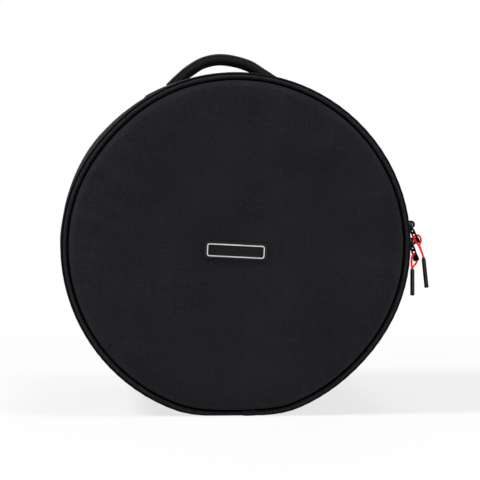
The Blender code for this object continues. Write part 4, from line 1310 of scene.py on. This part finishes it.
def add_tab(side):
    """A cast pull tab with three holes, hanging from the crown."""
    lean = math.radians(TAB_LEANS[side])
    twist = math.radians(TAB_TWIST)
    outline = [(x * MM, y * MM) for x, y in TAB_OUTLINE]
    outline += [(-x, y) for x, y in reversed(outline)]
    holes = []
    for start, end, width in TAB_HOLES:
        corners = rounded_rectangle(width * MM, (end - start) * MM, TAB_HOLE_CORNER, 4)
        holes.append([(x, y + (start + end) / 2 * MM) for x, y in corners])
    tab = rounded_plate([rounded(outline, TAB_CORNER), *holes], TAB_THICKNESS, TAB_EDGE)
    line = np.array([(x * MM, TAB_HEAD_PLACE, 0) for x in TAB_HEAD])
    head = swept(line, circle(TAB_HEAD_RADIUS, 18))
    tab = joined([tab, grid_mesh(*head, (False, True))])
    down = Vector((math.sin(lean), 0, -math.cos(lean)))
    out = Vector((math.cos(lean), 0, math.sin(lean)))
    back = Vector((0, 1, 0))
    across = back * math.cos(twist) - out * math.sin(twist)
    face = out * math.cos(twist) + back * math.sin(twist)
    hang = Matrix((across, down, face)).transposed().to_4x4()
    tab = moved(tab, Matrix.Translation(JOINTS[side + "_tab_swing"]) @ hang)
    piece(side + "_tab_plate", tab, "enamel", side + "_tab", [side + "_pull_tab"])


def add_light(name, place, size, power):
    data = bpy.data.lights.new(name, "AREA")
    data.shape = "DISK"
    data.size = size
    data.energy = power
    lamp = placed(name, data)
    lamp.location = place
    lamp.rotation_euler = facing(place, LAMP_AIM)


def seen_directly(tree):
    """1 for what the camera, gloss or glass sees, and 0 for the light that falls on things."""
    rays = add(tree, "LightPath").outputs
    seen = rays["Is Camera Ray"]
    for kind in ("Is Glossy Ray", "Is Transmission Ray"):
        seen = add(tree, "Math", [seen, rays[kind]], operation="MAXIMUM")
    return seen


def add_floor():
    """A pale painted floor that keeps the shadow and turns white away from the bag."""
    floor = bpy.data.meshes.new("floor")
    ways = ((-1, -1), (1, -1), (1, 1), (-1, 1))
    corners = [(x * FLOOR_REACH, y * FLOOR_REACH, 0) for x, y in ways]
    floor.from_pydata(corners, [], [(0, 1, 2, 3)])
    material, tree, paint = finish("painted_floor", "f4f4f4", 0.9, Specular_IOR_Level=0.0)
    place = add(tree, "TexCoord").outputs["Object"]
    away = add(tree, "VectorMath", [place], operation="LENGTH").outputs["Value"]
    white = add(tree, "MapRange", [away, *FLOOR_FADE, FLOOR_WHITE, 1.0])
    share = add(tree, "Math", [seen_directly(tree), white], operation="MULTIPLY")
    glow = add(tree, "Emission", {"Color": (1, 1, 1, 1), "Strength": 1.0})
    mix = add(tree, "MixShader", [share, paint, glow])
    tree.links.new(mix.outputs[0], tree.nodes["Material Output"].inputs["Surface"])
    floor.materials.append(material)
    placed("floor", floor)


def add_studio():
    """A white surround, which lights the bag less than it shows, a floor, and soft lamps."""
    world = bpy.data.worlds.new("studio")
    world.use_nodes = True
    tree = world.node_tree
    background = tree.nodes["Background"]
    strength = add(tree, "MapRange", {0: seen_directly(tree), 3: WORLD_LIGHT, 4: 1.0})
    tree.links.new(strength.outputs[0], background.inputs["Strength"])
    background.inputs["Color"].default_value = (1, 1, 1, 1)
    bpy.context.scene.world = world
    add_floor()
    for lamp in LAMPS:
        add_light(*lamp)


add_camera()
add_cord("upper", UPPER_CORD_ROUTE, UPPER_GRIP)
add_cord("lower", LOWER_CORD_ROUTE, LOWER_GRIP)
add_panel("lid", -1, LID_CROWN, FACE_FOLDS, "lid")
add_panel("back", 1, BACK_CROWN, BACK_FOLDS, "bag")
add_side("lid", -1, LID_MOUTH_Y, "lid")
add_side("body", 1, BODY_MOUTH_Y, "bag")
add_teeth("lid", -1, "lid")
add_teeth("body", 1, "bag")
add_hinge()
add_badge()
add_handle()
add_slider("upper", -1)
add_slider("lower", 1)
add_tab("upper")
add_tab("lower")
add_studio()

bpy.context.scene.view_settings.view_transform = "Standard"
